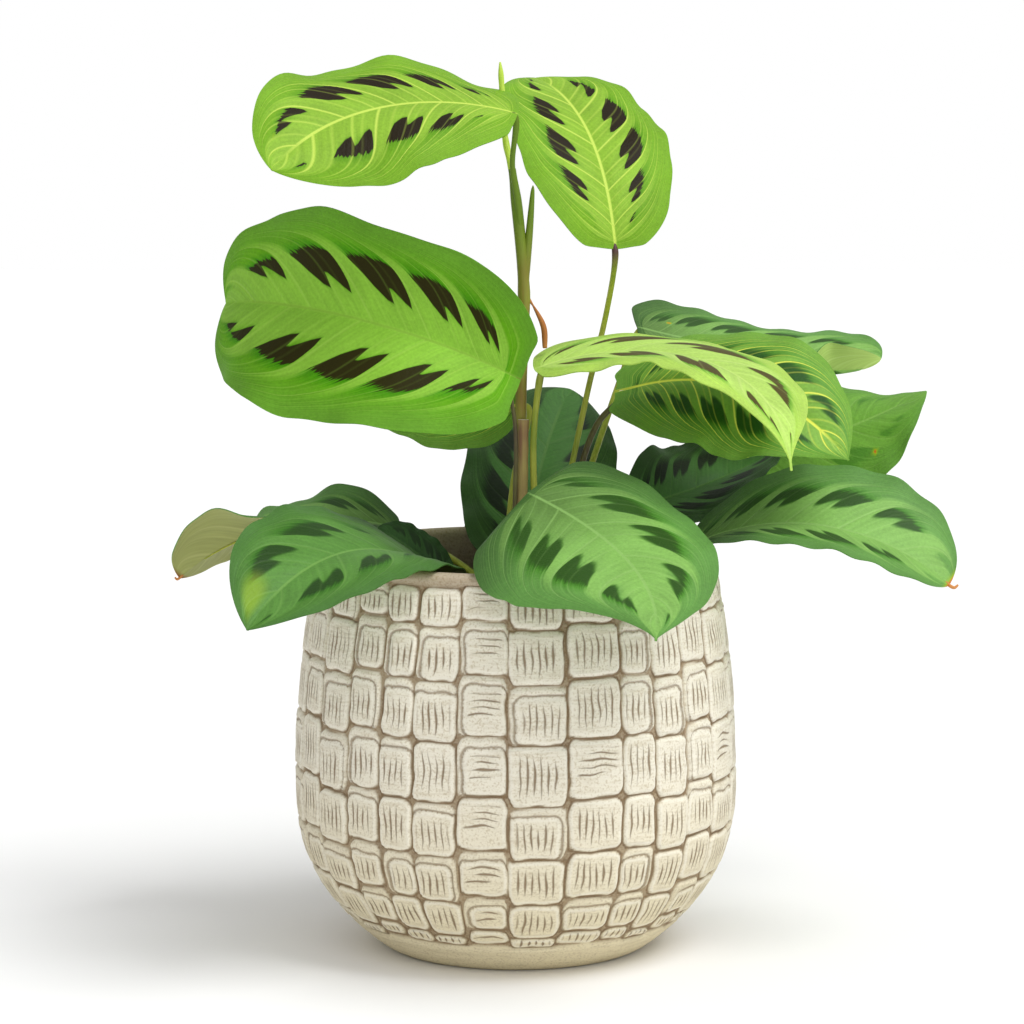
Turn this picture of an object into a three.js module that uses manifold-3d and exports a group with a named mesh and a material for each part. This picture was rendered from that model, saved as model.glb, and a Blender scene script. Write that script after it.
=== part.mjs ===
// A prayer plant (maranta) in a round stoneware pot with a relief of raised tiles.
// Millimetres, +Z up. The origin is the middle of the pot's flat underside, the plant's front is -Y.
import * as THREE from 'three';
import { mergeVertices } from 'three/addons/utils/BufferGeometryUtils.js';
import Module from 'manifold-3d';

const wasm = await Module();
wasm.setup();

// ---- Driving dimensions: the pot ----
const FOOT_RADIUS = 55.5;
const BELLY_RADIUS = 95;
const BELLY_HEIGHT = 76;
const LIP_RADIUS = 86;
const LIP_HEIGHT = 165;
const POT_HEIGHT = 171;
const WALL = 8;
const FLOOR = 10;
const LOWER_FULLNESS = 2.75; // how square the wall turns into the foot
const UPPER_FULLNESS = 1.9; // how late the wall draws in towards the lip
const FLOOR_CORNER = 4; // the inside's bevel where floor and wall meet
const MOUTH_LEVEL = 160; // the inside's last bend under the lip
const CUT_OVER = 5; // how far the cut for the inside runs past the top
const INSIDE_SIDES = 36;

// ---- Driving dimensions: the tiles of its relief ----
const TILE_RELIEF = 1.7; // a tile stands this far out of the joints round it
const JOINT_HALF_WIDTH = 1.5;
// Edges of the tile columns in degrees round the pot from the front, to the right; the rest of the turn is
// split evenly.
const FRONT_COLUMN_EDGES = [-84, -73, -61, -48, -37, -27, -15, -2, 13, 28, 38, 49, 61, 75];
const BACK_COLUMNS = 14;
// Heights of the joints between the tile rows, from the plain band at the foot to the one under the lip.
const ROW_EDGES = [14.5, 20.5, 36.8, 56.7, 79, 104, 128.5, 150.6, 165.5];
const BAND_HEIGHTS = [0, 3, 9];
const LIP_RINGS = [[168.2, 86.2], [170.3, 85], [171, 82.5]]; // height, radius
const COLUMN_STEP = 2.2; // most that a column of tiles is shifted up or down
const COLUMN_STEP_TURN = 2.4; // radians between one column's shift and the next one's
const END_ROW_SHARE = 0.4; // of that shift at the lowest and the highest joint
const RISE_WANDER = 0.6; // most that a corner of a tile wanders up or down
const TURN_WANDER = 0.5; // degrees that it wanders round the pot
// Unrelated turns in radians per column, joint, line and side, so that no two corners wander alike.
const WANDER_TURNS = [7.1, 3.7, 2.3, 1.9];

// ---- Driving dimensions: the soil and the stems ----
const SOIL_LEVEL = 148;
const INSIDE_LEVELS = [16, 40, 76, 115, SOIL_LEVEL]; // heights where the turned inside bends
const SOIL_GAP = 0.3;
const ROOT_DEPTH = 12;
const UPRIGHT = 2; // a stalk stays upright this far above the soil
const HOLE_CLEARANCE = 0.35;
const SHOOT_RADIUS = 2.3;
const SPIKE_RADIUS = 1.2;
const SHEATH_RADIUS = 1.1;
const DRY_SHEATH_RADIUS = 1.2;
const STUB_RADIUS = 2.4;
const STALK_SIDES = 5;
const STALK_STEPS = 9;
// The stems' roots, as places in the soil, and the points that they pass above it.
const SHOOT_ROOT = [2, 0];
const SHOOT = [[2.2, 0, 237], [3.5, 0, 280], [0.9, 0, 313], [-1.6, 0, 333]];
const SPIKE = [[-1.2, 0, 330], [-4.5, 8, 346], [-5.6, 14, 362], [-6.7, 16, 378]];
const SHEATH = [[3.2, 0, 281], [5.6, 0.5, 305], [7.3, 0.5, 326]];
const DRY_SHEATH = [[3.4, 0, 281], [8, 1, 274], [11.8, 1, 266], [12.4, 1, 257]];
const STUB_ROOT = [1.5, -6.5];
const STUB = [[2.6, -5.6, 195], [3.2, -4.9, 224]];

// ---- Driving dimensions: the blades ----
const BLADE_THICKNESS = 0.9;
const RIB_DEPTH = 0.7; // how far the midrib stands out under the blade
const BLUNT_END = 0.5; // half width that is left at the two ends of a blade
const STATIONS = 14; // along the midrib
const SIDE_STEPS = 2; // from the midrib to an edge
const LOBE = 0.05; // how far the base's two lobes reach back, in blade lengths
const WAVES = 2.5; // ripples along an edge
const WAVE_LAG = 2.0; // radians between the ripples of the two edges
const MIDRIB_STEPS = 60; // straight pieces that the bent midrib is summed from
const STALK_UNDER = 0.4; // the stalk joins the blade this far under its middle surface
const STALK_STRAIGHT = 7; // its last stretch before the blade, in line with the midrib
const STALK_INTO = 5; // how far it runs on under the blade

// Each leaf: where its stalk stands in the soil and what it passes, its blade's base, the length and the two
// half widths, and how it turns from base to tip: heading round Z from +X, pitch above level, roll about the
// midrib (the left side up). Fold is each side's rise beside the midrib, curl how far it has bent down at the
// edge. Widest below 1 moves the widest place to the base, round shapes base and tip. Angles are degrees.
const LEAVES = [
  {
    name: 'leaf_top_left', colour: 0x7fb543, stalkRadius: 1.1, onShoot: true,
    stalk: [[0.5, -3.5, 318], [-1.5, -4.8, 335]], base: [-3, -7, 357], length: 117, halfWidth: [40, 36],
    heading: [178, 233], pitch: [14, -38], roll: [-16, -37], fold: [1, 14], curl: [31, 17],
    widest: 1.04, full: 2.37, round: [2.2, 1.6], ripple: 3.4, phase: 40,
  },
  {
    name: 'leaf_top_right', colour: 0x86bb4b, stalkRadius: 1.2,
    stalk: [[14, 8], [31, 25, 236], [38.5, 22, 268]], base: [42, 6, 303], length: 113, halfWidth: [36, 33],
    heading: [103, 121], pitch: [66, 12], roll: [4, -2], fold: [11, 15], curl: [19, 16],
    widest: 0.96, full: 2.3, round: [2.1, 1.8], ripple: 1.7, phase: -45,
  },
  {
    name: 'leaf_big_left', colour: 0x5fa32c, stalkRadius: 0.9,
    stalk: [[-1.5, -8], [-0.5, -8, 190], [-0.6, -9, 228]], base: [-3, -12, 247],
    length: 154, halfWidth: [49, 43],
    heading: [192, 116], pitch: [27, -7], roll: [-57, -60], fold: [9, 31], curl: [20, -12],
    widest: 0.99, full: 2.36, round: [2.4, 1.7], ripple: -3.4, phase: 10,
  },
  {
    name: 'leaf_under_left', colour: 0x3f7a2a, stalkRadius: 1.1,
    stalk: [[-5, 8], [-1, 14, 200]], base: [-1, 18, 231], length: 79, halfWidth: [26, 23],
    heading: [152, 174], pitch: [5, 14], roll: [-74, -29], fold: [10, 12], curl: [22, 20],
    widest: 0.95, full: 2.35, round: [2.2, 2], ripple: 1, phase: -10,
  },
  {
    name: 'leaf_back_upright', colour: 0x2c5a22, stalkRadius: 1.6,
    stalk: [[3, 12]], base: [3, 20, 163], length: 109, halfWidth: [34, 34],
    heading: [80, 71], pitch: [49, 29], roll: [8, 16], fold: [9, 5], curl: [24, 31],
    widest: 0.96, full: 2.32, round: [2.2, 1.8], ripple: 1, phase: 0,
  },
  {
    name: 'leaf_front', colour: 0x3d7a33, stalkRadius: 1.5,
    stalk: [[8, -14]], base: [8, -59, 200], length: 121, halfWidth: [42, 49],
    heading: [-33, -92], pitch: [-20, -18], roll: [33, -8], fold: [6, 18], curl: [27, 50],
    widest: 0.67, full: 2.36, round: [2.3, 0.7], ripple: 2, phase: -16,
  },
  {
    name: 'leaf_low_left', colour: 0x3f7c34, stalkRadius: 1.5,
    stalk: [[-14, -9]], base: [-35, -26, 165], length: 120, halfWidth: [38, 36],
    heading: [229, 230], pitch: [31, -44], roll: [-12, -21], fold: [13, 14], curl: [9, 6],
    widest: 0.98, full: 2.28, round: [2.2, 1.1], ripple: 0.6, phase: -100,
  },
  {
    name: 'leaf_low_left_back', colour: 0x2c5f2a, stalkRadius: 1.4,
    stalk: [[-13, 5]], base: [-27, 13, 164], length: 77, halfWidth: [22, 23],
    heading: [190, 174], pitch: [31, 3], roll: [9, -15], fold: [15, 18], curl: [15, 9],
    widest: 1, full: 2.35, round: [2.2, 2], ripple: 1.2, phase: -113,
  },
  {
    name: 'leaf_far_left', colour: 0x9fb06a, stalkRadius: 1.4,
    stalk: [[-12, 22]], base: [-54, 50, 172], length: 105, halfWidth: [29, 29],
    heading: [192, 166], pitch: [16, -28], roll: [-18, 48], fold: [13, 25], curl: [17, -2],
    widest: 1.02, full: 2.37, round: [2.2, 2.1], ripple: 1.3, phase: -200,
  },
  {
    name: 'leaf_inner_left', colour: 0x244d22, stalkRadius: 1.1,
    stalk: [[-34, 28]], base: [-38, 31, 158], length: 34, halfWidth: [11, 11],
    heading: [100, 95], pitch: [80, 60], roll: [0, 0], fold: [12, 10], curl: [20, 23],
    widest: 1, full: 2.35, round: [2.2, 2], ripple: 1.2, phase: 0,
  },
  {
    name: 'leaf_lime_right', colour: 0xa9d770, stalkRadius: 1.3,
    stalk: [[10, -5], [7.4, -6, 214], [8.2, -5.5, 236]], base: [12, -8, 250],
    length: 153, halfWidth: [37, 33],
    heading: [7, -88], pitch: [18, -47], roll: [20, -19], fold: [10, 13], curl: [24, 22],
    widest: 0.94, full: 2.1, round: [1.9, 0.5], ripple: 0.5, phase: -27, lobe: 0.01,
  },
  {
    name: 'leaf_striped_right', colour: 0x8fb83f, stalkRadius: 1.3,
    stalk: [[19, 1], [35, 25, 226]], base: [42, 30, 236], length: 120, halfWidth: [35, 37],
    heading: [-21, -36], pitch: [17, -46], roll: [40, 36], fold: [11, 7], curl: [24, 26],
    widest: 0.95, full: 2.15, round: [2.1, 0.9], ripple: 1.6, phase: -11,
  },
  {
    name: 'leaf_upper_right', colour: 0x3f7a3a, stalkRadius: 1.3,
    stalk: [[17, 13], [42, 54, 236]], base: [57, 66, 261], length: 110, halfWidth: [34, 32],
    heading: [22, -22], pitch: [-15, 1], roll: [19, 16], fold: [13, 12], curl: [18, 20],
    widest: 0.88, full: 2.5, round: [2.4, 2.5], ripple: 4, phase: -3,
  },
  {
    name: 'leaf_pointed_right', colour: 0x3f7c30, stalkRadius: 1.3,
    stalk: [[24, 18], [76, 68, 187]], base: [99, 81, 201], length: 93, halfWidth: [31, 32],
    heading: [13, 0], pitch: [9, 29], roll: [86, 3], fold: [9, 2], curl: [24, 33],
    widest: 1, full: 2.35, round: [2.2, 1.9], ripple: 1.5, phase: -116,
  },
  {
    name: 'leaf_low_right', colour: 0x3f7d33, stalkRadius: 1.5,
    stalk: [[20, -6], [52, 1, 167]], base: [78, 2, 173.4], length: 115, halfWidth: [39, 35],
    heading: [-15, -10], pitch: [25, -41], roll: [20, 21], fold: [15, 14], curl: [-4, 2],
    widest: 1.26, full: 2.32, round: [1.8, 2.1], ripple: -0.5, phase: -23,
  },
  {
    name: 'leaf_dark_right', colour: 0x1f4420, stalkRadius: 1.4,
    stalk: [[25, 5], [41, 17, 178]], base: [53, 21, 187], length: 84, halfWidth: [28, 28],
    heading: [37, 25], pitch: [7, 24], roll: [50, -16], fold: [20, 19], curl: [7, 9],
    widest: 1.03, full: 2.33, round: [2.1, 2], ripple: 1.5, phase: -130,
  },
  {
    name: 'leaf_back', colour: 0x35702e, stalkRadius: 1.4,
    stalk: [[4, 21]], base: [-6, 41, 166], length: 88, halfWidth: [24, 24],
    heading: [100, 106], pitch: [30, -52], roll: [4, -6], fold: [12, 12], curl: [18, 22],
    widest: 1, full: 2.35, round: [2.2, 1.8], ripple: 1.6, phase: 60,
  },
  {
    name: 'leaf_back_right', colour: 0x3a7530, stalkRadius: 1.4,
    stalk: [[14, 24]], base: [26, 52, 166], length: 88, halfWidth: [25, 25],
    heading: [56, 46], pitch: [28, -56], roll: [6, 0], fold: [12, 12], curl: [18, 20],
    widest: 1, full: 2.35, round: [2.2, 1.8], ripple: 1.4, phase: 150,
  },
];

// ---- Solids ----
function solidOf(geometry) {
  const bare = geometry.index ? geometry.toNonIndexed() : geometry.clone();
  bare.deleteAttribute('normal');
  bare.deleteAttribute('uv');
  const merged = mergeVertices(bare, 1e-3);
  return new wasm.Manifold(new wasm.Mesh({
    numProp: 3,
    vertProperties: merged.attributes.position.array,
    triVerts: new Uint32Array(merged.index.array),
  }));
}

function geometryOf(solid) {
  const mesh = solid.getMesh();
  const geometry = new THREE.BufferGeometry();
  geometry.setAttribute('position', new THREE.BufferAttribute(mesh.vertProperties, 3));
  geometry.setIndex(new THREE.BufferAttribute(mesh.triVerts, 1));
  return geometry;
}

function geometryFrom(points, faces) {
  const geometry = new THREE.BufferGeometry().setFromPoints(points);
  geometry.setIndex(faces);
  return geometry;
}

const radians = THREE.MathUtils.degToRad;
const blend = THREE.MathUtils.lerp;
const point = ([x, y, z]) => new THREE.Vector3(x, y, z);

// ---- The pot ----
function wallRadius(height) {
  if (height < BELLY_HEIGHT) {
    return BELLY_RADIUS - (BELLY_RADIUS - FOOT_RADIUS) * (1 - height / BELLY_HEIGHT) ** LOWER_FULLNESS;
  }
  const rise = (height - BELLY_HEIGHT) / (LIP_HEIGHT - BELLY_HEIGHT);
  return BELLY_RADIUS - (BELLY_RADIUS - LIP_RADIUS) * Math.min(rise, 1) ** UPPER_FULLNESS;
}

function columnEdges() {
  const last = FRONT_COLUMN_EDGES[FRONT_COLUMN_EDGES.length - 1];
  const gap = 360 + FRONT_COLUMN_EDGES[0] - last;
  const back = Array.from({ length: BACK_COLUMNS - 1 }, (_, i) => last + (gap * (i + 1)) / BACK_COLUMNS);
  return [...FRONT_COLUMN_EDGES, ...back];
}

// Every column has three lines of points up the wall: the joint, the tiles' left edge and their right edge.
// Every joint between rows has three rings: the tiles' edge below it, the joint itself and the edge above it.
function potWall() {
  const edges = columnEdges();
  const columns = edges.length;
  const around = columns * 3;
  const lastJoint = ROW_EDGES.length - 1;
  const rings = [];
  const addRing = (pointAt) => {
    rings.push(Array.from({ length: around }, (_, i) => pointAt(Math.floor(i / 3), i % 3)));
  };
  const onWall = (column, line, height, radius, wander) => {
    const next = column + 1 < columns ? edges[column + 1] : edges[0] + 360;
    const half = THREE.MathUtils.radToDeg(JOINT_HALF_WIDTH / radius);
    const degrees = [edges[column], edges[column] + half + wander, next - half + wander][line];
    const turn = radians(degrees - 90);
    return new THREE.Vector3(radius * Math.cos(turn), radius * Math.sin(turn), height);
  };
  const shiftOf = (column) => COLUMN_STEP * Math.sin(COLUMN_STEP_TURN * column);
  const stepOf = (column, line, joint) => {
    const share = joint === 0 || joint === lastJoint ? END_ROW_SHARE : 1;
    return share * (line === 0 ? (shiftOf(column - 1) + shiftOf(column)) / 2 : shiftOf(column));
  };
  const plainRing = (height, radius) => addRing((column, line) => onWall(column, line, height, radius, 0));
  const jointRing = (joint) => addRing((column, line) => {
    const height = ROW_EDGES[joint] + stepOf(column, line, joint);
    return onWall(column, line, height, wallRadius(height) - TILE_RELIEF, 0);
  });
  const tileRing = (joint, side) => addRing((column, line) => {
    const places = [column, joint, line, side];
    const turn = places.reduce((sum, place, i) => sum + place * WANDER_TURNS[i], 0);
    const draw = line === 0 ? 0 : Math.sin(turn);
    const level = ROW_EDGES[joint] + side * JOINT_HALF_WIDTH;
    const height = level + stepOf(column, line, joint) + RISE_WANDER * draw;
    const radius = wallRadius(height) - (line === 0 ? TILE_RELIEF : 0);
    return onWall(column, line, height, radius, TURN_WANDER * draw);
  });
  BAND_HEIGHTS.forEach((height) => plainRing(height, wallRadius(height)));
  ROW_EDGES.forEach((edge, joint) => {
    if (joint > 0) tileRing(joint, -1);
    jointRing(joint);
    if (joint < lastJoint) tileRing(joint, 1);
  });
  LIP_RINGS.forEach(([height, radius]) => plainRing(height, radius));
  const points = rings.flat();
  const faces = [];
  for (let r = 0; r + 1 < rings.length; r += 1) {
    for (let i = 0; i < around; i += 1) {
      const a = r * around + i;
      const b = r * around + ((i + 1) % around);
      faces.push(a, b, b + around, a, b + around, a + around);
    }
  }
  const low = points.push(new THREE.Vector3(0, 0, 0)) - 1;
  const high = points.push(new THREE.Vector3(0, 0, POT_HEIGHT)) - 1;
  const top = (rings.length - 1) * around;
  for (let i = 0; i < around; i += 1) {
    const j = (i + 1) % around;
    faces.push(low, j, i, high, top + i, top + j);
  }
  return solidOf(geometryFrom(points, faces));
}

// A turned solid of the pot's inside, drawn in by an amount from the wall's outside.
function turnedInside(drawnIn, bottom, levels) {
  const profile = [
    new THREE.Vector2(0, bottom),
    new THREE.Vector2(wallRadius(bottom) - drawnIn - FLOOR_CORNER, bottom),
    ...levels.map((level) => new THREE.Vector2(wallRadius(level) - drawnIn, level)),
    new THREE.Vector2(0, levels[levels.length - 1]),
  ];
  return solidOf(new THREE.LatheGeometry(profile, INSIDE_SIDES).rotateX(Math.PI / 2));
}

function makePot() {
  const mouth = [MOUTH_LEVEL, POT_HEIGHT + CUT_OVER];
  return potWall().subtract(turnedInside(WALL, FLOOR, [...INSIDE_LEVELS, ...mouth]));
}

// ---- Stalks: round tubes along a smooth curve ----
function stalkTube(points, radius) {
  const curve = new THREE.CatmullRomCurve3(points.map(point), false, 'centripetal');
  const outline = new THREE.Shape(Array.from({ length: STALK_SIDES }, (_, i) => {
    const turn = (2 * Math.PI * i) / STALK_SIDES;
    return new THREE.Vector2(radius * Math.cos(turn), radius * Math.sin(turn));
  }));
  const options = { steps: STALK_STEPS, extrudePath: curve, bevelEnabled: false };
  return solidOf(new THREE.ExtrudeGeometry(outline, options));
}

// Every stalk starts upright in the soil; the hole that it stands in is a little wider and deeper.
const rootPoints = ([x, y], extraDepth) => [
  [x, y, SOIL_LEVEL - ROOT_DEPTH - extraDepth],
  [x, y, SOIL_LEVEL + UPRIGHT],
];

// ---- Blades ----
function midribFrames(leaf) {
  const direction = (u) => {
    const turn = radians(blend(...leaf.heading, u));
    const rise = radians(blend(...leaf.pitch, u));
    const level = Math.cos(rise);
    return new THREE.Vector3(level * Math.cos(turn), level * Math.sin(turn), Math.sin(rise));
  };
  const track = [point(leaf.base)];
  for (let i = 0; i < MIDRIB_STEPS; i += 1) {
    const step = direction((i + 0.5) / MIDRIB_STEPS).multiplyScalar(leaf.length / MIDRIB_STEPS);
    track.push(track[i].clone().add(step));
  }
  return (u) => {
    const place = Math.min(u * MIDRIB_STEPS, MIDRIB_STEPS - 1e-6);
    const i = Math.floor(place);
    const along = direction(u);
    const turn = radians(blend(...leaf.heading, u));
    const level = new THREE.Vector3(-Math.sin(turn), Math.cos(turn), 0);
    const up = along.clone().cross(level);
    const roll = radians(blend(...leaf.roll, u));
    return {
      at: track[i].clone().lerp(track[i + 1], place - i),
      along,
      across: level.clone().multiplyScalar(Math.cos(roll)).addScaledVector(up, Math.sin(roll)),
      up: up.clone().multiplyScalar(Math.cos(roll)).addScaledVector(level, -Math.sin(roll)),
    };
  };
}

function widthShare(leaf, u) {
  const place = u ** leaf.widest;
  const full = Math.max(1 - Math.abs(1 - 2 * place) ** leaf.full, 0);
  return full ** (1 / (place < 0.5 ? leaf.round[0] : leaf.round[1]));
}

// A point of the blade's middle surface. u runs from base to tip, v from the right edge -1 to the left one 1.
function bladePoint(leaf, frame, u, v) {
  const side = v > 0 ? 0 : 1;
  const out = Math.abs(v);
  const share = widthShare(leaf, u);
  const width = Math.max(leaf.halfWidth[side] * share, BLUNT_END);
  const fold = radians(leaf.fold[side]);
  const curl = radians(leaf.curl[side]) || 1e-4;
  const lateral = (width * (Math.sin(fold) - Math.sin(fold - curl * out))) / curl;
  const height = (width * (Math.cos(fold - curl * out) - Math.cos(fold))) / curl;
  const lag = side === 0 ? 0 : WAVE_LAG;
  const wave = leaf.ripple * out ** 2 * share * Math.sin(2 * Math.PI * WAVES * u + radians(leaf.phase) + lag);
  return frame.at.clone()
    .addScaledVector(frame.across, v < 0 ? -lateral : lateral)
    .addScaledVector(frame.up, height + wave)
    .addScaledVector(frame.along, -(leaf.lobe ?? LOBE) * leaf.length * out ** 2 * (1 - u) ** 5);
}

function makeBlade(leaf) {
  const frameAt = midribFrames(leaf);
  const columns = 2 * SIDE_STEPS + 1;
  const middle = [];
  for (let i = 0; i <= STATIONS; i += 1) {
    const u = (1 - Math.cos((Math.PI * i) / STATIONS)) / 2;
    const frame = frameAt(u);
    const row = [];
    for (let j = 0; j < columns; j += 1) {
      row.push(bladePoint(leaf, frame, u, j / SIDE_STEPS - 1));
    }
    middle.push(row);
  }
  const normalAt = (i, j) => {
    const ahead = middle[Math.min(i + 1, STATIONS)][j].clone().sub(middle[Math.max(i - 1, 0)][j]);
    const beside = middle[i][Math.min(j + 1, columns - 1)].clone().sub(middle[i][Math.max(j - 1, 0)]);
    return ahead.cross(beside).normalize();
  };
  const points = [];
  [1, -1].forEach((face) => middle.forEach((row, i) => row.forEach((place, j) => {
    const rib = face < 0 && j === SIDE_STEPS ? RIB_DEPTH * (1 - i / STATIONS) : 0;
    points.push(place.clone().addScaledVector(normalAt(i, j), (face * BLADE_THICKNESS) / 2 - rib));
  })));
  const under = (STATIONS + 1) * columns;
  const faces = [];
  const quad = (a, b, c, d) => faces.push(a, b, c, a, c, d);
  for (let i = 0; i < STATIONS; i += 1) {
    for (let j = 0; j + 1 < columns; j += 1) {
      const a = i * columns + j;
      quad(a, a + columns, a + columns + 1, a + 1);
      faces.push(under + a, under + a + columns + 1, under + a + columns);
      faces.push(under + a, under + a + 1, under + a + columns + 1);
    }
  }
  const rim = [];
  for (let i = 0; i < STATIONS; i += 1) rim.push(i * columns);
  for (let j = 0; j < columns - 1; j += 1) rim.push(STATIONS * columns + j);
  for (let i = STATIONS; i > 0; i -= 1) rim.push(i * columns + columns - 1);
  for (let j = columns - 1; j > 0; j -= 1) rim.push(j);
  rim.forEach((a, i) => {
    const b = rim[(i + 1) % rim.length];
    quad(a, under + a, under + b, b);
  });
  return solidOf(geometryFrom(points, faces));
}

function leafStalk(leaf, extraRadius = 0, extraDepth = 0) {
  const start = leaf.onShoot ? [] : rootPoints(leaf.stalk[0], extraDepth);
  const passed = leaf.onShoot ? leaf.stalk : leaf.stalk.slice(1);
  const frame = midribFrames(leaf)(0);
  const alongRib = (distance) => frame.at.clone()
    .addScaledVector(frame.up, -STALK_UNDER)
    .addScaledVector(frame.along, distance)
    .toArray();
  const end = [alongRib(-STALK_STRAIGHT), alongRib(STALK_INTO)];
  return stalkTube([...start, ...passed, ...end], leaf.stalkRadius + extraRadius);
}

// ---- Assembly ----
const shootStem = (extraRadius, extraDepth) =>
  stalkTube([...rootPoints(SHOOT_ROOT, extraDepth), ...SHOOT], SHOOT_RADIUS + extraRadius);
const stubStem = (extraRadius, extraDepth) =>
  stalkTube([...rootPoints(STUB_ROOT, extraDepth), ...STUB], STUB_RADIUS + extraRadius);

function makeShoot() {
  return shootStem(0, 0)
    .add(stalkTube(SPIKE, SPIKE_RADIUS))
    .add(stalkTube(SHEATH, SHEATH_RADIUS))
    .add(stalkTube(DRY_SHEATH, DRY_SHEATH_RADIUS));
}

function makeSoil() {
  let soil = turnedInside(WALL + SOIL_GAP, FLOOR + SOIL_GAP, INSIDE_LEVELS);
  [shootStem, stubStem].forEach((stem) => {
    soil = soil.subtract(stem(HOLE_CLEARANCE, SOIL_GAP));
  });
  LEAVES.filter((leaf) => !leaf.onShoot).forEach((leaf) => {
    soil = soil.subtract(leafStalk(leaf, HOLE_CLEARANCE, SOIL_GAP));
  });
  return soil;
}

const group = new THREE.Group();

function addPiece(name, solid, colour, roughness) {
  const material = new THREE.MeshStandardMaterial({ color: colour, roughness, metalness: 0 });
  const mesh = new THREE.Mesh(geometryOf(solid), material);
  mesh.name = name;
  group.add(mesh);
}

addPiece('pot', makePot(), 0xddd8c4, 0.85);
addPiece('soil', makeSoil(), 0x3a2c22, 0.95);
addPiece('stem_main', makeShoot(), 0x7c8a3c, 0.6);
addPiece('stem_stub', stubStem(0, 0), 0x8a8450, 0.7);
LEAVES.forEach((leaf) => addPiece(leaf.name, makeBlade(leaf).add(leafStalk(leaf)), leaf.colour, 0.5));

export default group;
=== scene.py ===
"""A prayer plant (maranta) in a round carved stoneware pot. Frame in metres, +Z up, front towards -Y."""
import math
import random

import bpy
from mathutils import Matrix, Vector, noise


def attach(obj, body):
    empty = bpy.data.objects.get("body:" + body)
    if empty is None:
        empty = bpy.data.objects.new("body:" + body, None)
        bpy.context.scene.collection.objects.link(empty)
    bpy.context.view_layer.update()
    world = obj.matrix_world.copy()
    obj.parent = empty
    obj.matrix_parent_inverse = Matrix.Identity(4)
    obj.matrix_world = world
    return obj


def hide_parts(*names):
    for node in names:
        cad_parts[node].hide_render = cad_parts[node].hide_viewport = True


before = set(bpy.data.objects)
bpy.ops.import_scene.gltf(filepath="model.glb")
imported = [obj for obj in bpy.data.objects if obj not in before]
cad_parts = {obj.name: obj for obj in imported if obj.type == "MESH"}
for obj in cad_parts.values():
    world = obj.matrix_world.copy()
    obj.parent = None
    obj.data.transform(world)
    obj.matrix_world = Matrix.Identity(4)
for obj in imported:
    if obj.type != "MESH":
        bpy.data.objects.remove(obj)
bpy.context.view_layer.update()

# ---- The pot ----
# One thick stoneware pot, thrown round, with a relief of raised tiles that were cut out of the wet clay and
# combed with a few strokes each. Cream wash was brushed over the brown body and wiped out of the joints.
MM = 0.001
FOOT_RADIUS = 55.5
BELLY_RADIUS = 95
BELLY_HEIGHT = 76
LIP_RADIUS = 86
LIP_HEIGHT = 165
WALL = 8
LOWER_FULLNESS = 2.75  # how square the wall turns into the foot
UPPER_FULLNESS = 1.9  # how late the wall draws in towards the lip
TILE_RELIEF = 1.7
# Edges of the tile columns in degrees from the front, to the right; the back is split evenly.
FRONT_COLUMN_EDGES = [-84, -73, -61, -48, -37, -27, -15, -2, 13, 28, 38, 49, 61, 75]
BACK_COLUMNS = 14
ROW_EDGES = [14.5, 20.5, 36.8, 56.7, 79, 104, 128.5, 150.6, 165.5]  # heights of the joints between tile rows
COLUMN_STEP = 2.2  # most that a column of tiles is shifted up or down
COLUMN_STEP_TURN = 2.4  # radians between one column's shift and the next one's
END_ROW_SHARE = 0.4  # of that shift at the lowest and the highest joint
STEP_REACH = 0.09  # share of a tile's width over which its joint steps to its neighbour's
TILE_WANDER = 0.9  # mm that the edges of a tile stray, in waves of about 7 mm
WANDER_LENGTH = 7
STRIP_GROOVE = 1.1  # mm from the middle of the groove between a tile and its strip to its edge
STRIP_DEPTH = 0.55  # of a tile's relief
HUMP = 0.3  # mm that a tile's face is uneven, in waves of about 5 mm
HUMP_LENGTH = 5
LINES_PER_TILE = 20  # mesh lines across a tile
ROW_LINES = [6, 12, 14, 15, 17, 17, 15, 11]  # mesh lines up the tiles of each row
CROWDING = 0.4  # how much closer the mesh lines lie at a tile's edges
TILE_CORNER = 3.6
JOINT_FALL = 1.0  # mm over which a tile's edge falls into the joint
STROKE_GAP = 2.9  # mm between two comb strokes
ARC_COLUMN = 6  # its tiles are combed across instead of up
# Profile below and above the tiles as (height, radius).
FOOT_PROFILE = [(0, 0), (0, 30), (0, 53.4), (0.5, 55.2), (1.5, 57.3), (3, 59.6)]
BAND_HEIGHTS = [5, 7, 8.2, 9.4, 11, 12.8]
BAND_GROOVE = 8.2
BAND_GROOVE_DEPTH = 0.5
LIP_PROFILE = [
    (166.8, 86.1), (168.2, 86.3), (169.4, 85.9), (170.3, 85), (170.8, 83.9), (171, 82.4),
    (170.9, 80.8), (170.4, 79.5), (169.4, 78.7), (167.5, 78.3), (160, 78.9),
]
INSIDE_LEVELS = [148, 115, 76, 40, 16]
FLOOR_PROFILE = [(10, 54), (10, 0)]


def wall_radius(height):
    if height < BELLY_HEIGHT:
        low = (1 - height / BELLY_HEIGHT) ** LOWER_FULLNESS
        return BELLY_RADIUS - (BELLY_RADIUS - FOOT_RADIUS) * low
    rise = min((height - BELLY_HEIGHT) / (LIP_HEIGHT - BELLY_HEIGHT), 1)
    return BELLY_RADIUS - (BELLY_RADIUS - LIP_RADIUS) * rise**UPPER_FULLNESS


def smooth(value):
    value = min(max(value, 0), 1)
    return value * value * (3 - 2 * value)


def blend(a, b, share):
    return a + (b - a) * share


def crowd(share):
    return share - CROWDING * math.sin(2 * math.pi * share) / (2 * math.pi)


def column_edges():
    last = FRONT_COLUMN_EDGES[-1]
    gap = 360 + FRONT_COLUMN_EDGES[0] - last
    return FRONT_COLUMN_EDGES + [last + gap * (i + 1) / BACK_COLUMNS for i in range(BACK_COLUMNS)]


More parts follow.
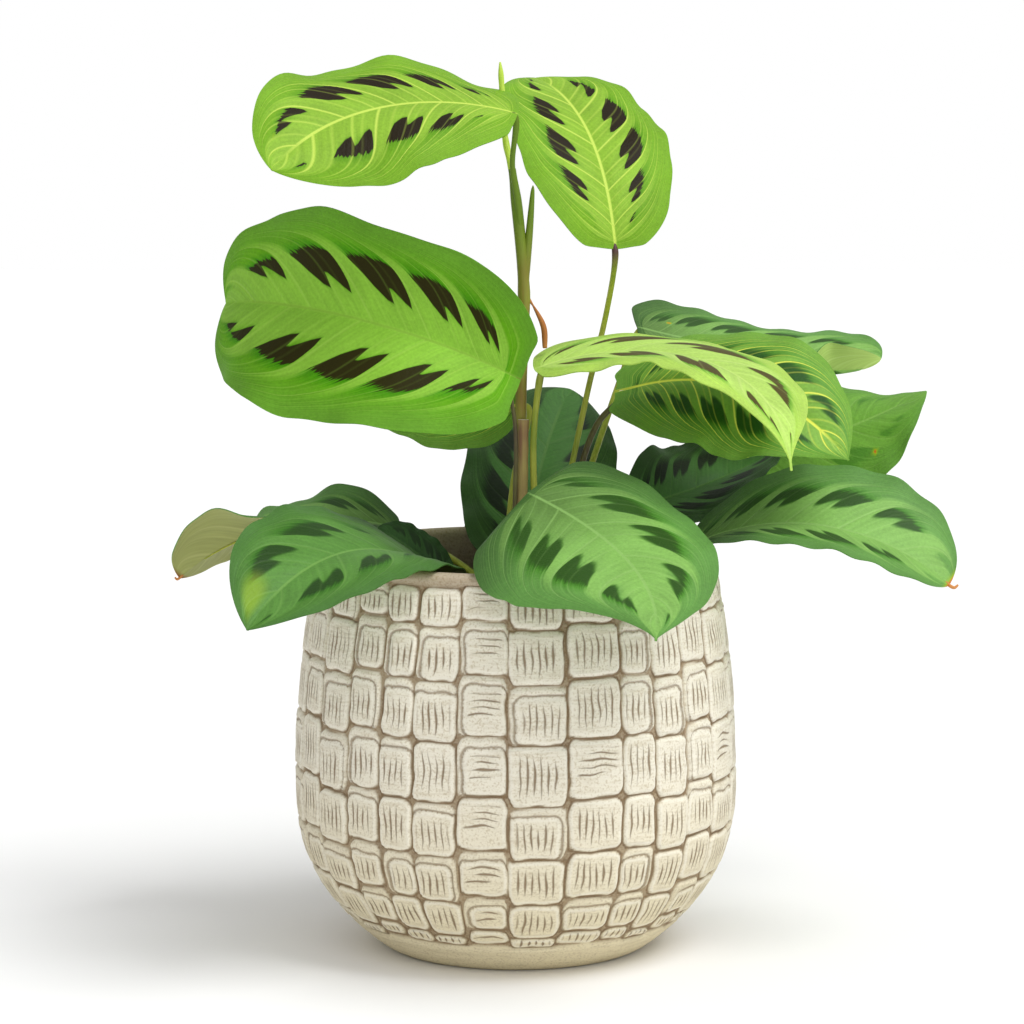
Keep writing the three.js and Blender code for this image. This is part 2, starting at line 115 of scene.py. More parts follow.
def column_shift(column):
    return COLUMN_STEP * math.sin(COLUMN_STEP_TURN * column)


def joint_height(joint, column, across):
    """Height of a joint between two rows of tiles, which steps up or down at every joint between columns."""
    beside = column - 1 if across < 0.5 else column + 1
    reach = min(across, 1 - across)
    share = 0.5 + 0.5 * smooth(reach / STEP_REACH)
    shift = blend(column_shift(beside), column_shift(column), share)
    return ROW_EDGES[joint] + shift * (END_ROW_SHARE if joint in (0, len(ROW_EDGES) - 1) else 1)


def rounded_edge(x, z, half_x, half_z):
    """Distance to the edge of a tile with round corners, negative on the tile."""
    corner = min(TILE_CORNER, half_x, half_z)
    over_x = abs(x) - half_x + corner
    over_z = abs(z) - half_z + corner
    return math.hypot(max(over_x, 0), max(over_z, 0)) + min(max(over_x, over_z), 0) - corner


def cut_tile(draw, column, row):
    """What makes one tile its own: its joint, how proud it stands, and the strip cut off some at the top."""
    strip = row > 0 and draw.random() < 0.5
    return {
        "joint": draw.uniform(0.05, 0.5),
        "top_strip": draw.uniform(3.4, 4.8) if strip else 0,
        "side_strip": draw.choice((0, 2.6, -2.6)) if strip else 0,
        "bow": draw.uniform(-0.6, 0.6),
        "proud": draw.uniform(0.75, 1.0),
        "across": column == ARC_COLUMN or draw.random() < 0.06,
        "seed": draw.randint(1, 400),
    }


def tile_measures(column, row, across, share):
    """Where a mesh point lies on the wall, its place from its tile's middle, and the tile's half sizes."""
    low = joint_height(row, column, across)
    high = joint_height(row + 1, column, across)
    height = blend(low, high, share)
    radius = wall_radius(height)
    turn = math.radians(blend(edges[column], edges[column + 1], across) - 90)
    width = math.radians(edges[column + 1] - edges[column]) * radius
    spot = Vector((radius * math.cos(turn), radius * math.sin(turn), height))
    tile = tiles[column][row]
    waves = spot / WANDER_LENGTH
    x = (across - 0.5) * width + TILE_WANDER * noise.noise(waves) + tile["bow"] * math.sin(math.pi * share)
    z = (share - 0.5) * (high - low) + TILE_WANDER * noise.noise(waves + Vector((40, 0, 0)))
    return spot, x, z, width / 2 - tile["joint"], (high - low) / 2 - tile["joint"]


def inner_tile(tile, x, z, half_x, half_z):
    """The same place seen from the middle of the tile inside its strips, and the half sizes of that tile."""
    side = min(abs(tile["side_strip"]), half_x / 2)
    top = min(tile["top_strip"], half_z)
    x -= math.copysign(side / 2, tile["side_strip"])
    return x, z + top / 2, half_x - side / 2, half_z - top / 2


def wrap_grid(name, lines, rows, place):
    """A grid wrapped round the Z axis and closed. A rule places its points and gives their finish."""
    bpy.ops.object.select_all(action="DESELECT")
    bpy.ops.mesh.primitive_grid_add(x_subdivisions=lines, y_subdivisions=rows - 1, size=2)
    wrapped = bpy.context.object
    wrapped.name = name
    mesh = wrapped.data
    finish = mesh.attributes.new("finish", "FLOAT", "POINT")
    steps = []
    for vertex in mesh.vertices:
        line = round((vertex.co.x + 1) / 2 * lines)
        row = round((vertex.co.y + 1) / 2 * (rows - 1))
        steps.append((line, row))
        spot, value = place(line % lines, row)
        vertex.co = spot * MM
        finish.data[vertex.index].value = value
    return wrapped, steps


def close_mesh(piece):
    """Merges the points of its seam and poles, turns every face outwards and shades it smooth."""
    bpy.context.view_layer.objects.active = piece
    bpy.ops.object.mode_set(mode="EDIT")
    bpy.ops.mesh.select_all(action="SELECT")
    bpy.ops.mesh.remove_doubles(threshold=1e-6)
    bpy.ops.mesh.normals_make_consistent(inside=False)
    bpy.ops.object.mode_set(mode="OBJECT")
    bpy.ops.object.shade_smooth()


edges = column_edges()
columns = len(edges) - 1
pot_rows = [("plain", height, radius, 1) for height, radius in FOOT_PROFILE]
for level in BAND_HEIGHTS:
    groove = BAND_GROOVE_DEPTH if level == BAND_GROOVE else 0
    pot_rows.append(("plain", level, wall_radius(level) - groove, 1))
for row_number, count in enumerate(ROW_LINES):
    pot_rows += [("tile", row_number, crowd(step / count), 1) for step in range(count)]
pot_rows.append(("tile", len(ROW_LINES) - 1, 1.0, 1))
# The lip keeps little wash and shows brown clay: partly wiped bare, partly painted shade of the leaves over
# it.
pot_rows += [("plain", height, radius, 0.1) for height, radius in LIP_PROFILE]
pot_rows += [("plain", level, wall_radius(level) - WALL, 0) for level in INSIDE_LEVELS]
pot_rows += [("plain", height, radius, 0) for height, radius in FLOOR_PROFILE]
draw = random.Random(17)
tiles = [[cut_tile(draw, column, row) for row in range(len(ROW_LINES))] for column in range(columns)]


def pot_point(line, row):
    column = line // LINES_PER_TILE
    across = crowd(line % LINES_PER_TILE / LINES_PER_TILE)
    kind, first, second, finish = pot_rows[row]
    if kind == "plain":
        turn = math.radians(blend(edges[column], edges[column + 1], across) - 90)
        return Vector((second * math.cos(turn), second * math.sin(turn), first)), finish
    spot, x, z, half_x, half_z = tile_measures(column, first, across, second)
    tile = tiles[column][first]
    raised = smooth(-rounded_edge(x, z, half_x, half_z) / JOINT_FALL)
    if tile["top_strip"]:
        groove = smooth(1 - abs(rounded_edge(*inner_tile(tile, x, z, half_x, half_z))) / STRIP_GROOVE)
        raised *= 1 - STRIP_DEPTH * groove
    out = Vector((spot.x, spot.y, 0)).normalized()
    hump = HUMP * noise.noise(spot / HUMP_LENGTH + Vector((0, 0, 80)))
    return spot - out * (TILE_RELIEF * (1 - raised * tile["proud"]) - hump * raised), raised


# What the maps say where there is no tile: the middle of a huge one, far from any stroke.
NO_TILE = {"tile": (0, 0), "half": (90, 90), "comb": (0, 9)}


def map_tiles(wrapped, steps):
    """Maps for the finish, in mm: the place on a tile, its half sizes, and the place among its strokes."""
    mesh = wrapped.data
    mesh.uv_layers[0].name = "tile"
    mesh.uv_layers.new(name="half")
    mesh.uv_layers.new(name="comb")
    maps = {name: mesh.uv_layers[name].data for name in NO_TILE}
    for face in mesh.polygons:
        column = min(steps[k][0] for k in face.vertices) // LINES_PER_TILE
        kind, first = pot_rows[min(steps[k][1] for k in face.vertices)][:2]
        for loop in face.loop_indices:
            line, row = steps[mesh.loops[loop].vertex_index]
            if kind == "plain" or pot_rows[row][0] == "plain":
                for name, plain in NO_TILE.items():
                    maps[name][loop].uv = plain
                continue
            across = crowd((line - column * LINES_PER_TILE) / LINES_PER_TILE)
            share = pot_rows[row][2] if pot_rows[row][1] == first else 1.0
            tile = tiles[column][first]
            x, z, half_x, half_z = inner_tile(tile, *tile_measures(column, first, across, share)[1:])
            maps["tile"][loop].uv = (x, z)
            maps["half"][loop].uv = (half_x, half_z)
            # The strokes of a tile combed across are arcs, shorter towards its foot; the others run up it.
            if tile["across"]:
                along = x / half_x - 0.1 + 5 * max(0, -0.05 - z / half_z)
                over = half_z - z - 2 - 1.6 * (x / half_x) ** 2
            else:
                along = z / half_z
                over = x - 0.7 * math.cos(1.5 * along)
            maps["comb"][loop].uv = (over + STROKE_GAP * (0.3 + 9 * tile["seed"]), along)


pot, grid_steps = wrap_grid("pot_carved", columns * LINES_PER_TILE, len(pot_rows), pot_point)
map_tiles(pot, grid_steps)
close_mesh(pot)


def linear(code):
    """An sRGB hex colour as the linear values that a shader takes."""
    parts = [int(code[i : i + 2], 16) / 255 for i in (0, 2, 4)]
    return [c / 12.92 if c <= 0.04045 else ((c + 0.055) / 1.055) ** 2.4 for c in parts] + [1.0]


def add_node(tree, kind, inputs=None, **settings):
    """Adds a node with its inputs, which are values or links, and its settings, curve points or colour stops.

    A Mix of colours takes its share at input 0 and the colours at 6 and 7, and gives the result at output 2.
    """
    node = tree.nodes.new("ShaderNode" + kind)
    for key, value in settings.items():
        if key == "points":
            curve = node.mapping.curves[0]
            for _ in value[2:]:
                curve.points.new(0.5, 0.5)
            for spot, (x, y) in zip(curve.points, value):
                spot.location = (x, y)
                spot.handle_type = "VECTOR"
            node.mapping.update()
        elif key == "stops":
            for _ in value[2:]:
                node.color_ramp.elements.new(0.5)
            for stop, (at, colour) in zip(node.color_ramp.elements, value):
                stop.position = at
                stop.color = colour
        else:
            setattr(node, key, value)
    for key, value in (inputs or {}).items():
        if isinstance(value, bpy.types.Node):
            tree.links.new(value.outputs[0], node.inputs[key])
        elif isinstance(value, bpy.types.NodeSocket):
            tree.links.new(value, node.inputs[key])
        else:
            node.inputs[key].default_value = value
    return node


def new_material(name, roughness, specular):
    material = bpy.data.materials.new(name)
    material.use_nodes = True
    tree = material.node_tree
    shader = tree.nodes["Principled BSDF"]
    shader.inputs["Roughness"].default_value = roughness
    shader.inputs["Specular IOR Level"].default_value = specular
    shader.inputs["IOR"].default_value = 1.5
    return material, tree, shader


# Washed stoneware, biscuit fired: matt, cream on the raised faces and bare beige clay in every cut.
stoneware, tree, shader = new_material("washed_stoneware", 0.88, 0.2)
place = add_node(tree, "TexCoord")
height = add_node(tree, "SeparateXYZ", {0: place.outputs["Object"]})
raised = add_node(tree, "Attribute", attribute_name="finish")

# How far the place is from the edge of its tile, in mm, negative on the tile.
on_tile = add_node(tree, "UVMap", uv_map="tile")
half = add_node(tree, "UVMap", uv_map="half")
folded = add_node(tree, "VectorMath", {0: on_tile}, operation="ABSOLUTE")
within = add_node(tree, "VectorMath", {0: folded, 1: half}, operation="SUBTRACT")
over = add_node(tree, "VectorMath", {0: within, 1: (TILE_CORNER, TILE_CORNER, 0)}, operation="ADD")
beyond = add_node(tree, "VectorMath", {0: over, 1: (0, 0, 0)}, operation="MAXIMUM")
round_part = add_node(tree, "VectorMath", {0: beyond}, operation="LENGTH")
over_parts = add_node(tree, "SeparateXYZ", {0: over})
over_most = add_node(
    tree, "Math", {0: over_parts.outputs["X"], 1: over_parts.outputs["Y"]}, operation="MAXIMUM"
)
inner_part = add_node(tree, "Math", {0: over_most, 1: 0.0}, operation="MINIMUM")
edge_sum = add_node(tree, "Math", {0: round_part.outputs["Value"], 1: inner_part}, operation="ADD")
edge_plain = add_node(tree, "Math", {0: edge_sum, 1: TILE_CORNER}, operation="SUBTRACT")

# Grit of under 1 mm frays every edge, brush lines run round the pot about 1.2 mm apart.
grit = add_node(tree, "TexNoise", {"Vector": place.outputs["Object"], "Scale": 1100.0, "Detail": 3.0})
brush_scale = add_node(tree, "Mapping", {0: place.outputs["Object"], "Scale": (90, 90, 850)})
brush = add_node(tree, "TexNoise", {"Vector": brush_scale, "Scale": 1.0, "Detail": 2.0})
blotch = add_node(tree, "TexNoise", {"Vector": place.outputs["Object"], "Scale": 60.0, "Detail": 3.0})
fray = add_node(tree, "Math", {0: grit, 1: 1.2, 2: -0.6}, operation="MULTIPLY_ADD")
edge = add_node(tree, "Math", {0: edge_plain, 1: fray}, operation="ADD")

# A thin dark line follows the foot of each tile; a painted highlight of near white cream runs along its edge.
off_line = add_node(tree, "Math", {0: edge, 1: 0.45}, operation="SUBTRACT")
off_line_abs = add_node(tree, "Math", {0: off_line}, operation="ABSOLUTE")
line = add_node(
    tree, "MapRange",
    {"Value": off_line_abs, "From Min": 0.05, "From Max": 0.85, "To Min": 1.0, "To Max": 0.0},
    interpolation_type="SMOOTHSTEP",
)
off_highlight = add_node(tree, "Math", {0: edge, 1: 1.2}, operation="ADD")
off_highlight_abs = add_node(tree, "Math", {0: off_highlight}, operation="ABSOLUTE")
edge_highlight = add_node(
    tree, "MapRange",
    {"Value": off_highlight_abs, "From Min": 0.1, "From Max": 1.1, "To Min": 0.4, "To Max": 0.0},
    interpolation_type="SMOOTHSTEP",
)

# The comb strokes: spindles side by side, each with its own length, middle and girth, and none at the edge.
comb = add_node(tree, "UVMap", uv_map="comb")
comb_parts = add_node(tree, "SeparateXYZ", {0: comb})
stroke_at = add_node(tree, "Math", {0: comb_parts.outputs["X"], 1: float(STROKE_GAP)}, operation="DIVIDE")
stroke_number = add_node(tree, "Math", {0: stroke_at}, operation="FLOOR")
stroke_part = add_node(tree, "Math", {0: stroke_at}, operation="FRACT")
stroke_off = add_node(tree, "Math", {0: stroke_part, 1: 0.5}, operation="SUBTRACT")
stroke_side = add_node(tree, "Math", {0: stroke_off}, operation="ABSOLUTE")
chance = add_node(tree, "TexWhiteNoise", {"W": stroke_number}, noise_dimensions="1D")
chances = add_node(tree, "SeparateColor", {0: chance.outputs["Color"]})
middle = add_node(tree, "MapRange", {"Value": chances.outputs[0], "To Min": -0.08, "To Max": 0.12})
reach = add_node(tree, "MapRange", {"Value": chances.outputs[1], "To Min": 0.45, "To Max": 0.78})
girth = add_node(tree, "MapRange", {"Value": chances.outputs[2], "To Min": 0.09, "To Max": 0.2})
off_middle = add_node(tree, "Math", {0: comb_parts.outputs["Y"], 1: middle}, operation="SUBTRACT")
along = add_node(tree, "Math", {0: off_middle, 1: reach}, operation="DIVIDE")
along_squared = add_node(tree, "Math", {0: along, 1: along}, operation="MULTIPLY")
left_over = add_node(tree, "Math", {0: 1.0, 1: along_squared}, operation="SUBTRACT")
spindle = add_node(tree, "Math", {0: left_over, 1: girth}, operation="MULTIPLY")
in_spindle = add_node(tree, "Math", {0: spindle, 1: stroke_side}, operation="SUBTRACT")
stroke = add_node(
    tree, "MapRange",
    {"Value": in_spindle, "From Min": -0.1, "From Max": 0.13},
    interpolation_type="SMOOTHSTEP",
)
tile_shares = add_node(tree, "VectorMath", {0: folded, 1: half}, operation="DIVIDE")
share_parts = add_node(tree, "SeparateXYZ", {0: tile_shares})
outermost = add_node(
    tree, "Math", {0: share_parts.outputs["X"], 1: share_parts.outputs["Y"]}, operation="MAXIMUM"
)
well_inside = add_node(
    tree, "MapRange",
    {"Value": outermost, "From Min": 0.62, "From Max": 0.82, "To Min": 1.0, "To Max": 0.0},
    interpolation_type="SMOOTHSTEP",
)
stroke_drawn = add_node(tree, "Math", {0: stroke, 1: well_inside}, operation="MULTIPLY")

# Cream wash, yellower towards the foot, streaked by the brush; beige clay in the joints, brown in the lines.
warm = add_node(tree, "MapRange", {"Value": height.outputs["Z"], "From Min": 0.0, "From Max": 0.09})
cream = add_node(tree, "Mix", {0: warm, 6: linear("ded2ae"), 7: linear("e9e3d2")}, data_type="RGBA")
streaked = add_node(
    tree, "MapRange",
    {"Value": brush, "From Min": 0.47, "From Max": 0.68, "To Max": 0.3},
    interpolation_type="SMOOTHSTEP",
)
cream_streaked = add_node(
    tree, "Mix", {0: streaked, 6: cream.outputs[2], 7: linear("bfb194")}, data_type="RGBA"
)
speckle = add_node(
    tree, "MapRange",
    {"Value": grit, "From Min": 0.5, "From Max": 0.66, "To Max": 0.5},
    interpolation_type="SMOOTHSTEP",
)
cream_speckled = add_node(
    tree, "Mix", {0: speckle, 6: cream_streaked.outputs[2], 7: linear("b9a98a")}, data_type="RGBA"
)
# Painted highlight: near white cream along the edge of every tile.
cream_highlighted = add_node(
    tree, "Mix", {0: edge_highlight, 6: cream_speckled.outputs[2], 7: linear("f4f0e2")}, data_type="RGBA"
)
clay = add_node(tree, "Mix", {0: blotch, 6: linear("78624a"), 7: linear("ae9978")}, data_type="RGBA")
joint_wash = add_node(tree, "Math", {0: grit, 1: 0.7, 2: raised.outputs["Fac"]}, operation="MULTIPLY_ADD")
washed = add_node(
    tree, "MapRange",
    {"Value": joint_wash, "From Min": 0.15, "From Max": 1.0},
    interpolation_type="SMOOTHSTEP",
)
covered = add_node(tree, "Mix", {0: washed, 6: clay.outputs[2], 7: cream_highlighted.outputs[2]}, data_type="RGBA")
line_share = add_node(tree, "Math", {0: line, 1: 0.78}, operation="MULTIPLY")
cuts = add_node(tree, "Math", {0: line_share, 1: stroke_drawn}, operation="MAXIMUM")
cut_share = add_node(tree, "Math", {0: cuts, 1: 0.84}, operation="MULTIPLY")
pot_colour = add_node(
    tree, "Mix", {0: cut_share, 6: covered.outputs[2], 7: linear("7d6548")}, data_type="RGBA"
)
tree.links.new(pot_colour.outputs[2], shader.inputs["Base Color"])
ridges = add_node(tree, "Math", {0: grit, 1: 0.5, 2: brush}, operation="MULTIPLY_ADD")
carved = add_node(tree, "Math", {0: cuts, 1: -1.4, 2: ridges}, operation="MULTIPLY_ADD")
surface = add_node(tree, "Bump", {"Strength": 0.6, "Distance": 0.0006, "Height": carved})
tree.links.new(surface.outputs[0], shader.inputs["Normal"])
pot.data.materials.append(stoneware)
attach(pot, "root")
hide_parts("pot")

# ---- The soil ----
# Dark potting soil pressed into the pot to about 23 mm under its lip, uneven and crumbly on top, with loose
# crumbs lying on it.
SOIL_LEVEL = 148
SOIL_GAP = 0.3
SOIL_LINES = 180
SOIL_RINGS = 54
SOIL_BOTTOM = 10.3
SOIL_OUTSIDE = wall_radius(SOIL_LEVEL) - WALL - SOIL_GAP
# The hidden part as (height, radius): the middle of its underside, the corner under the wall, and the side.
SOIL_PROFILE = [
    (SOIL_BOTTOM, 0),
    (SOIL_BOTTOM, wall_radius(SOIL_BOTTOM) - WALL - SOIL_GAP - 4),
    (40, wall_radius(40) - WALL - 1),
    (100, SOIL_OUTSIDE),
]
CRUMBS = 150
CRUMB_REACH = 77  # mm from the middle of the pot
CRUMB_RADII = (0.8, 2.6)


def soil_height(x, y):
    """The top of the soil: slow hollows, lumps of about 6 mm and crumbs of about 2 mm."""
    spot = Vector((x, y, 0))
    height = 1.6 * noise.noise(spot / 22) + 1.3 * noise.noise(spot / 6) + 0.8 * noise.noise(spot / 2.4)
    return SOIL_LEVEL - 0.6 + height


def soil_point(line, row):
    turn = 2 * math.pi * line / SOIL_LINES
    hidden = len(SOIL_PROFILE)
    if row < hidden:
        height, radius = SOIL_PROFILE[row]
        return Vector((radius * math.cos(turn), radius * math.sin(turn), height)), 0
    radius = SOIL_OUTSIDE * (1 - (row - hidden) / (SOIL_RINGS - 1 - hidden))
    x = radius * math.cos(turn)
    y = radius * math.sin(turn)
    return Vector((x, y, soil_height(x, y))), 0


def join_pieces(pieces):
    bpy.ops.object.select_all(action="DESELECT")
    for piece in pieces:
        piece.select_set(True)
    bpy.context.view_layer.objects.active = pieces[0]
    bpy.ops.object.join()
    return pieces[0]


soil, _ = wrap_grid("soil_bed", SOIL_LINES, SOIL_RINGS, soil_point)
close_mesh(soil)
draw = random.Random(5)
crumbs = []
for _ in range(CRUMBS):
    reach = CRUMB_REACH * math.sqrt(draw.random())
    turn = draw.uniform(0, 2 * math.pi)
    x = reach * math.cos(turn)
    y = reach * math.sin(turn)
    size = draw.uniform(*CRUMB_RADII)
    spot = Vector((x, y, soil_height(x, y) + 0.3 * size)) * MM
    bpy.ops.mesh.primitive_ico_sphere_add(subdivisions=1, radius=size * MM, location=spot)
    crumb = bpy.context.object
    crumb.scale = (draw.uniform(0.7, 1.3), draw.uniform(0.7, 1.3), draw.uniform(0.5, 0.9))
    crumb.rotation_euler = (draw.uniform(0, 3), draw.uniform(0, 3), draw.uniform(0, 3))
    crumbs.append(crumb)
soil = join_pieces([soil] + crumbs)

# Peaty potting soil: almost black brown, dull, darker where it is damp.
potting_soil, tree, shader = new_material("potting_soil", 0.95, 0.15)
place = add_node(tree, "TexCoord")
lumps = add_node(tree, "TexNoise", {"Vector": place.outputs["Object"], "Scale": 450.0, "Detail": 5.0})
soil_colour = add_node(tree, "ValToRGB", {0: lumps}, stops=[(0.3, linear("1a120d")), (0.7, linear("4a382b"))])
tree.links.new(soil_colour.outputs[0], shader.inputs["Base Color"])
surface = add_node(tree, "Bump", {"Strength": 0.8, "Distance": 0.0008, "Height": lumps})
tree.links.new(surface.outputs[0], shader.inputs["Normal"])
soil.data.materials.append(potting_soil)
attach(soil, "root")
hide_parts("soil")

# ---- The shoot and the cut stem ----
# The tall shoot is one green, fibrous stem. A narrow sheath stands beside it, a dried one hangs from its
# joint, and the newest leaf, still rolled up, is the spike at its top. The old stem beside it was cut.
ROOT_DEPTH = 12
UPRIGHT = 2
SHOOT_ROOT = (2, 0)
SHOOT = [(2.2, 0, 237), (3.5, 0, 280), (0.9, 0, 313), (-1.6, 0, 333)]
SPIKE = [(-1.2, 0, 330), (-4.5, 8, 346), (-5.6, 14, 362), (-6.7, 16, 378)]
SHEATH = [(3.2, 0, 281), (5.6, 0.5, 305), (7.3, 0.5, 326)]
DRY_SHEATH = [(3.4, 0, 281), (8, 1, 274), (11.8, 1, 266), (12.4, 1, 257)]
STUB_ROOT = (1.5, -6.5)
STUB = [(2.6, -5.6, 195), (3.2, -4.9, 227)]
PATH_STEPS = 30
SHOOT_RADIUS = 2.4
RING_LEVEL = 280  # height of the joint that the sheaths grow from
RING_SWELL = 0.4
RING_REACH = 4
THINNING_LEVEL = 318  # above this height the shoot thins out into the rolled leaf
THINNING = 0.8
THINNING_REACH = 14
RIPENING = (0.272, 0.312)  # metres up the shoot between its old part and its young one


def root_points(x, y):
    """Where a stem begins in the soil, and where it leaves it, still upright."""
    return [(x, y, SOIL_LEVEL - ROOT_DEPTH), (x, y, SOIL_LEVEL + UPRIGHT)]


def smooth_path(points, steps):
    """Points along a centripetal curve through the given ones, as the stems bend."""
    given = [Vector(p) for p in points]
    given = [given[0] * 2 - given[1]] + given + [given[-1] * 2 - given[-2]]
    path = []
    spans = len(given) - 3
    for step in range(steps + 1):
        at = min(step / steps * spans, spans - 1e-6)
        first = int(at)
        p = given[first : first + 4]
        knots = [0.0]
        for a, b in zip(p, p[1:]):
            knots.append(knots[-1] + max((b - a).length, 1e-4) ** 0.5)
        t = blend(knots[1], knots[2], at - first)
        a1 = blend(p[0], p[1], (t - knots[0]) / (knots[1] - knots[0]))
        a2 = blend(p[1], p[2], (t - knots[1]) / (knots[2] - knots[1]))
        a3 = blend(p[2], p[3], (t - knots[2]) / (knots[3] - knots[2]))
        b1 = blend(a1, a2, (t - knots[0]) / (knots[2] - knots[0]))
        b2 = blend(a2, a3, (t - knots[1]) / (knots[3] - knots[1]))
        path.append(blend(b1, b2, (t - knots[1]) / (knots[2] - knots[1])))
    return path


def grow_stem(name, path, radii, material):
    """A stem along a path, with its own radius at every point and both ends closed."""
    bpy.ops.object.select_all(action="DESELECT")
    bpy.ops.curve.primitive_nurbs_path_add()
    stem = bpy.context.object
    stem.name = name
    curve = stem.data
    spline = curve.splines[0]
    spline.points.add(len(path) - len(spline.points))
    for spot, at, radius in zip(spline.points, path, radii):
        spot.co = (*(at * MM), 1)
        spot.radius = radius
    spline.order_u = 3
    spline.use_endpoint_u = True
    spline.resolution_u = 2
    curve.bevel_depth = MM
    curve.bevel_resolution = 3
    curve.use_fill_caps = True
    bpy.ops.object.convert(target="MESH")
    stem = bpy.context.object
    close_mesh(stem)
    stem.data.materials.clear()
    stem.data.materials.append(material)
    return stem


def stem_material(name, low, high, roughness, young=None):
    """Fibrous stem: two greens that change along it, in streaks about 1 mm wide; a young top is greener."""
    material, tree, shader = new_material(name, roughness, 0.35)
    place = add_node(tree, "TexCoord")
    stretch = add_node(tree, "Mapping", {0: place.outputs["Object"], "Scale": (900, 900, 40)})
    streaks = add_node(tree, "TexNoise", {"Vector": stretch, "Scale": 1.0, "Detail": 3.0})
    patches = add_node(tree, "TexNoise", {"Vector": place.outputs["Object"], "Scale": 60.0, "Detail": 2.0})
    share = add_node(tree, "Math", {0: patches, 1: 1.6, 2: streaks}, operation="MULTIPLY_ADD")
    tone = add_node(tree, "MapRange", {"Value": share, "From Min": 0.9, "From Max": 1.7})
    blush = add_node(tree, "Attribute", attribute_name="blush")
    green = add_node(tree, "Mix", {0: tone, 6: linear(low), 7: linear(high)}, data_type="RGBA")
    grown = green
    if young:
        stem_height = add_node(tree, "SeparateXYZ", {0: place.outputs["Object"]})
        ripening = add_node(
            tree, "MapRange",
            {"Value": stem_height.outputs["Z"], "From Min": RIPENING[0], "From Max": RIPENING[1]},
        )
        grown = add_node(
            tree, "Mix", {0: ripening, 6: green.outputs[2], 7: linear(young)}, data_type="RGBA"
        )
    # A stalk blushes dark red where it joins its blade.
    tinted = add_node(
        tree, "Mix", {0: blush.outputs["Fac"], 6: grown.outputs[2], 7: linear("4a2f2a")}, data_type="RGBA"
    )
    tree.links.new(tinted.outputs[2], shader.inputs["Base Color"])
    fibres = add_node(tree, "Bump", {"Strength": 0.3, "Distance": 0.0004, "Height": streaks})
    tree.links.new(fibres.outputs[0], shader.inputs["Normal"])
    return material


shoot_green = stem_material("shoot_green", "8e7636", "92983a", 0.55, young="5f7a12")
spike_green = stem_material("rolled_leaf_green", "a9c93a", "c3dc55", 0.5)
dry_brown = stem_material("dried_brown", "a0602f", "cf8d50", 0.8)
old_stem = stem_material("old_stem_bark", "8a6a4c", "a89a5a", 0.75)
petiole_green = stem_material("petiole_green", "86962e", "b4b848", 0.5)
petiole_dark = stem_material("petiole_dark", "4a3a2c", "6b6a3a", 0.5)


def shoot_radius(height):
    ring = RING_SWELL * math.exp(-(((height - RING_LEVEL) / RING_REACH) ** 2))
    return SHOOT_RADIUS + ring - THINNING * smooth((height - THINNING_LEVEL) / THINNING_REACH)


path = smooth_path(root_points(*SHOOT_ROOT) + SHOOT, PATH_STEPS)
shoot = grow_stem("shoot", path, [shoot_radius(p.z) for p in path], shoot_green)
# The rolled leaf is even up to its point, with the slight steps of its turns.
path = smooth_path(SPIKE, PATH_STEPS)
radii = [1.4 - 0.9 * (i / PATH_STEPS) ** 10 + 0.12 * math.sin(i) for i in range(len(path))]
spike = grow_stem("spike", path, radii, spike_green)
# The sheath is a narrow blade, widest at its root.
path = smooth_path(SHEATH, PATH_STEPS)
radii = [0.25 + 1.8 * (1 - i / PATH_STEPS) ** 0.4 for i in range(len(path))]
sheath = grow_stem("sheath", path, radii, shoot_green)
# The dried one is pinched where it folded over.
path = smooth_path(DRY_SHEATH, PATH_STEPS)
radii = [0.4 + 0.9 * abs(math.sin(2.2 + 3.4 * i / PATH_STEPS)) for i in range(len(path))]
dry_sheath = grow_stem("dry_sheath", path, radii, dry_brown)
shoot = join_pieces([shoot, spike, sheath, dry_sheath])
shoot.name = "shoot_with_sheaths"
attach(shoot, "root")
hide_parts("stem_main")

# The old stem thins upwards and has knots where its leaves once grew.
path = smooth_path(root_points(*STUB_ROOT) + STUB, PATH_STEPS)
radii = [2.75 - 0.45 * i / PATH_STEPS + 0.2 * math.sin(0.9 * i) ** 4 for i in range(len(path))]
stub = grow_stem("cut_stem", path, radii, old_stem)
# The cut has dried to a pale, slightly pink face.
cut_face, tree, shader = new_material("dried_cut_face", 0.85, 0.2)
shader.inputs["Base Color"].default_value = linear("e2d8cc")
stub.data.materials.append(cut_face)
for face in stub.data.polygons:
    if face.center.z > (STUB[-1][2] - 0.6) * MM:
        face.material_index = 1
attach(stub, "root")
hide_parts("stem_stub")

# ---- The leaves ----
# Each leaf is one thin blade, folded a little along its midrib, rippled at its edges and pillowed between
# its side veins, on its own round stalk, which runs on under the blade as the midrib.
BLADE_THICKNESS = 0.5
BLUNT_END = 0.5  # half width that is left at a blade's tip
NOTCH = 2.4  # half width at its base, in mm for a lobe as long as the blade
SMALL_WAVES = 6.5  # short ripples along an edge
WAVE_LAG = 2.0  # radians between the ripples of the two edges
MIDRIB_STEPS = 60
ALONG_FACES = 100
ACROSS_FACES = 52
PILLOW = 0.45  # mm that the blade bulges between two side veins
SMALL_RIPPLE = 0.7  # mm of the short ripples right at the edge
RIB_END = 0.86  # where the midrib has run out, as a share of the blade
RIB_STEPS = 14
TIP_STEPS = 12
# Side veins lean towards the tip as they leave the midrib and turn along the edge at the end. The cells
# between them grow towards the tip: the first cell, how much each next one gains, and where they begin.
VEIN_LEAN = 0.24
VEIN_SWEEP = 0.5
CELLS = (0.115, 0.0145, -0.012)
PATCH_PLACE = 0.4  # where a patch has its middle between two veins


def blade_direction(leaf, u):
    """Which way the midrib runs at u, from 0 at the blade's base to 1 at its tip."""
    turn = math.radians(blend(*leaf["heading"], u))
    rise = math.radians(blend(*leaf["pitch"], u))
    return Vector((math.cos(rise) * math.cos(turn), math.cos(rise) * math.sin(turn), math.sin(rise)))


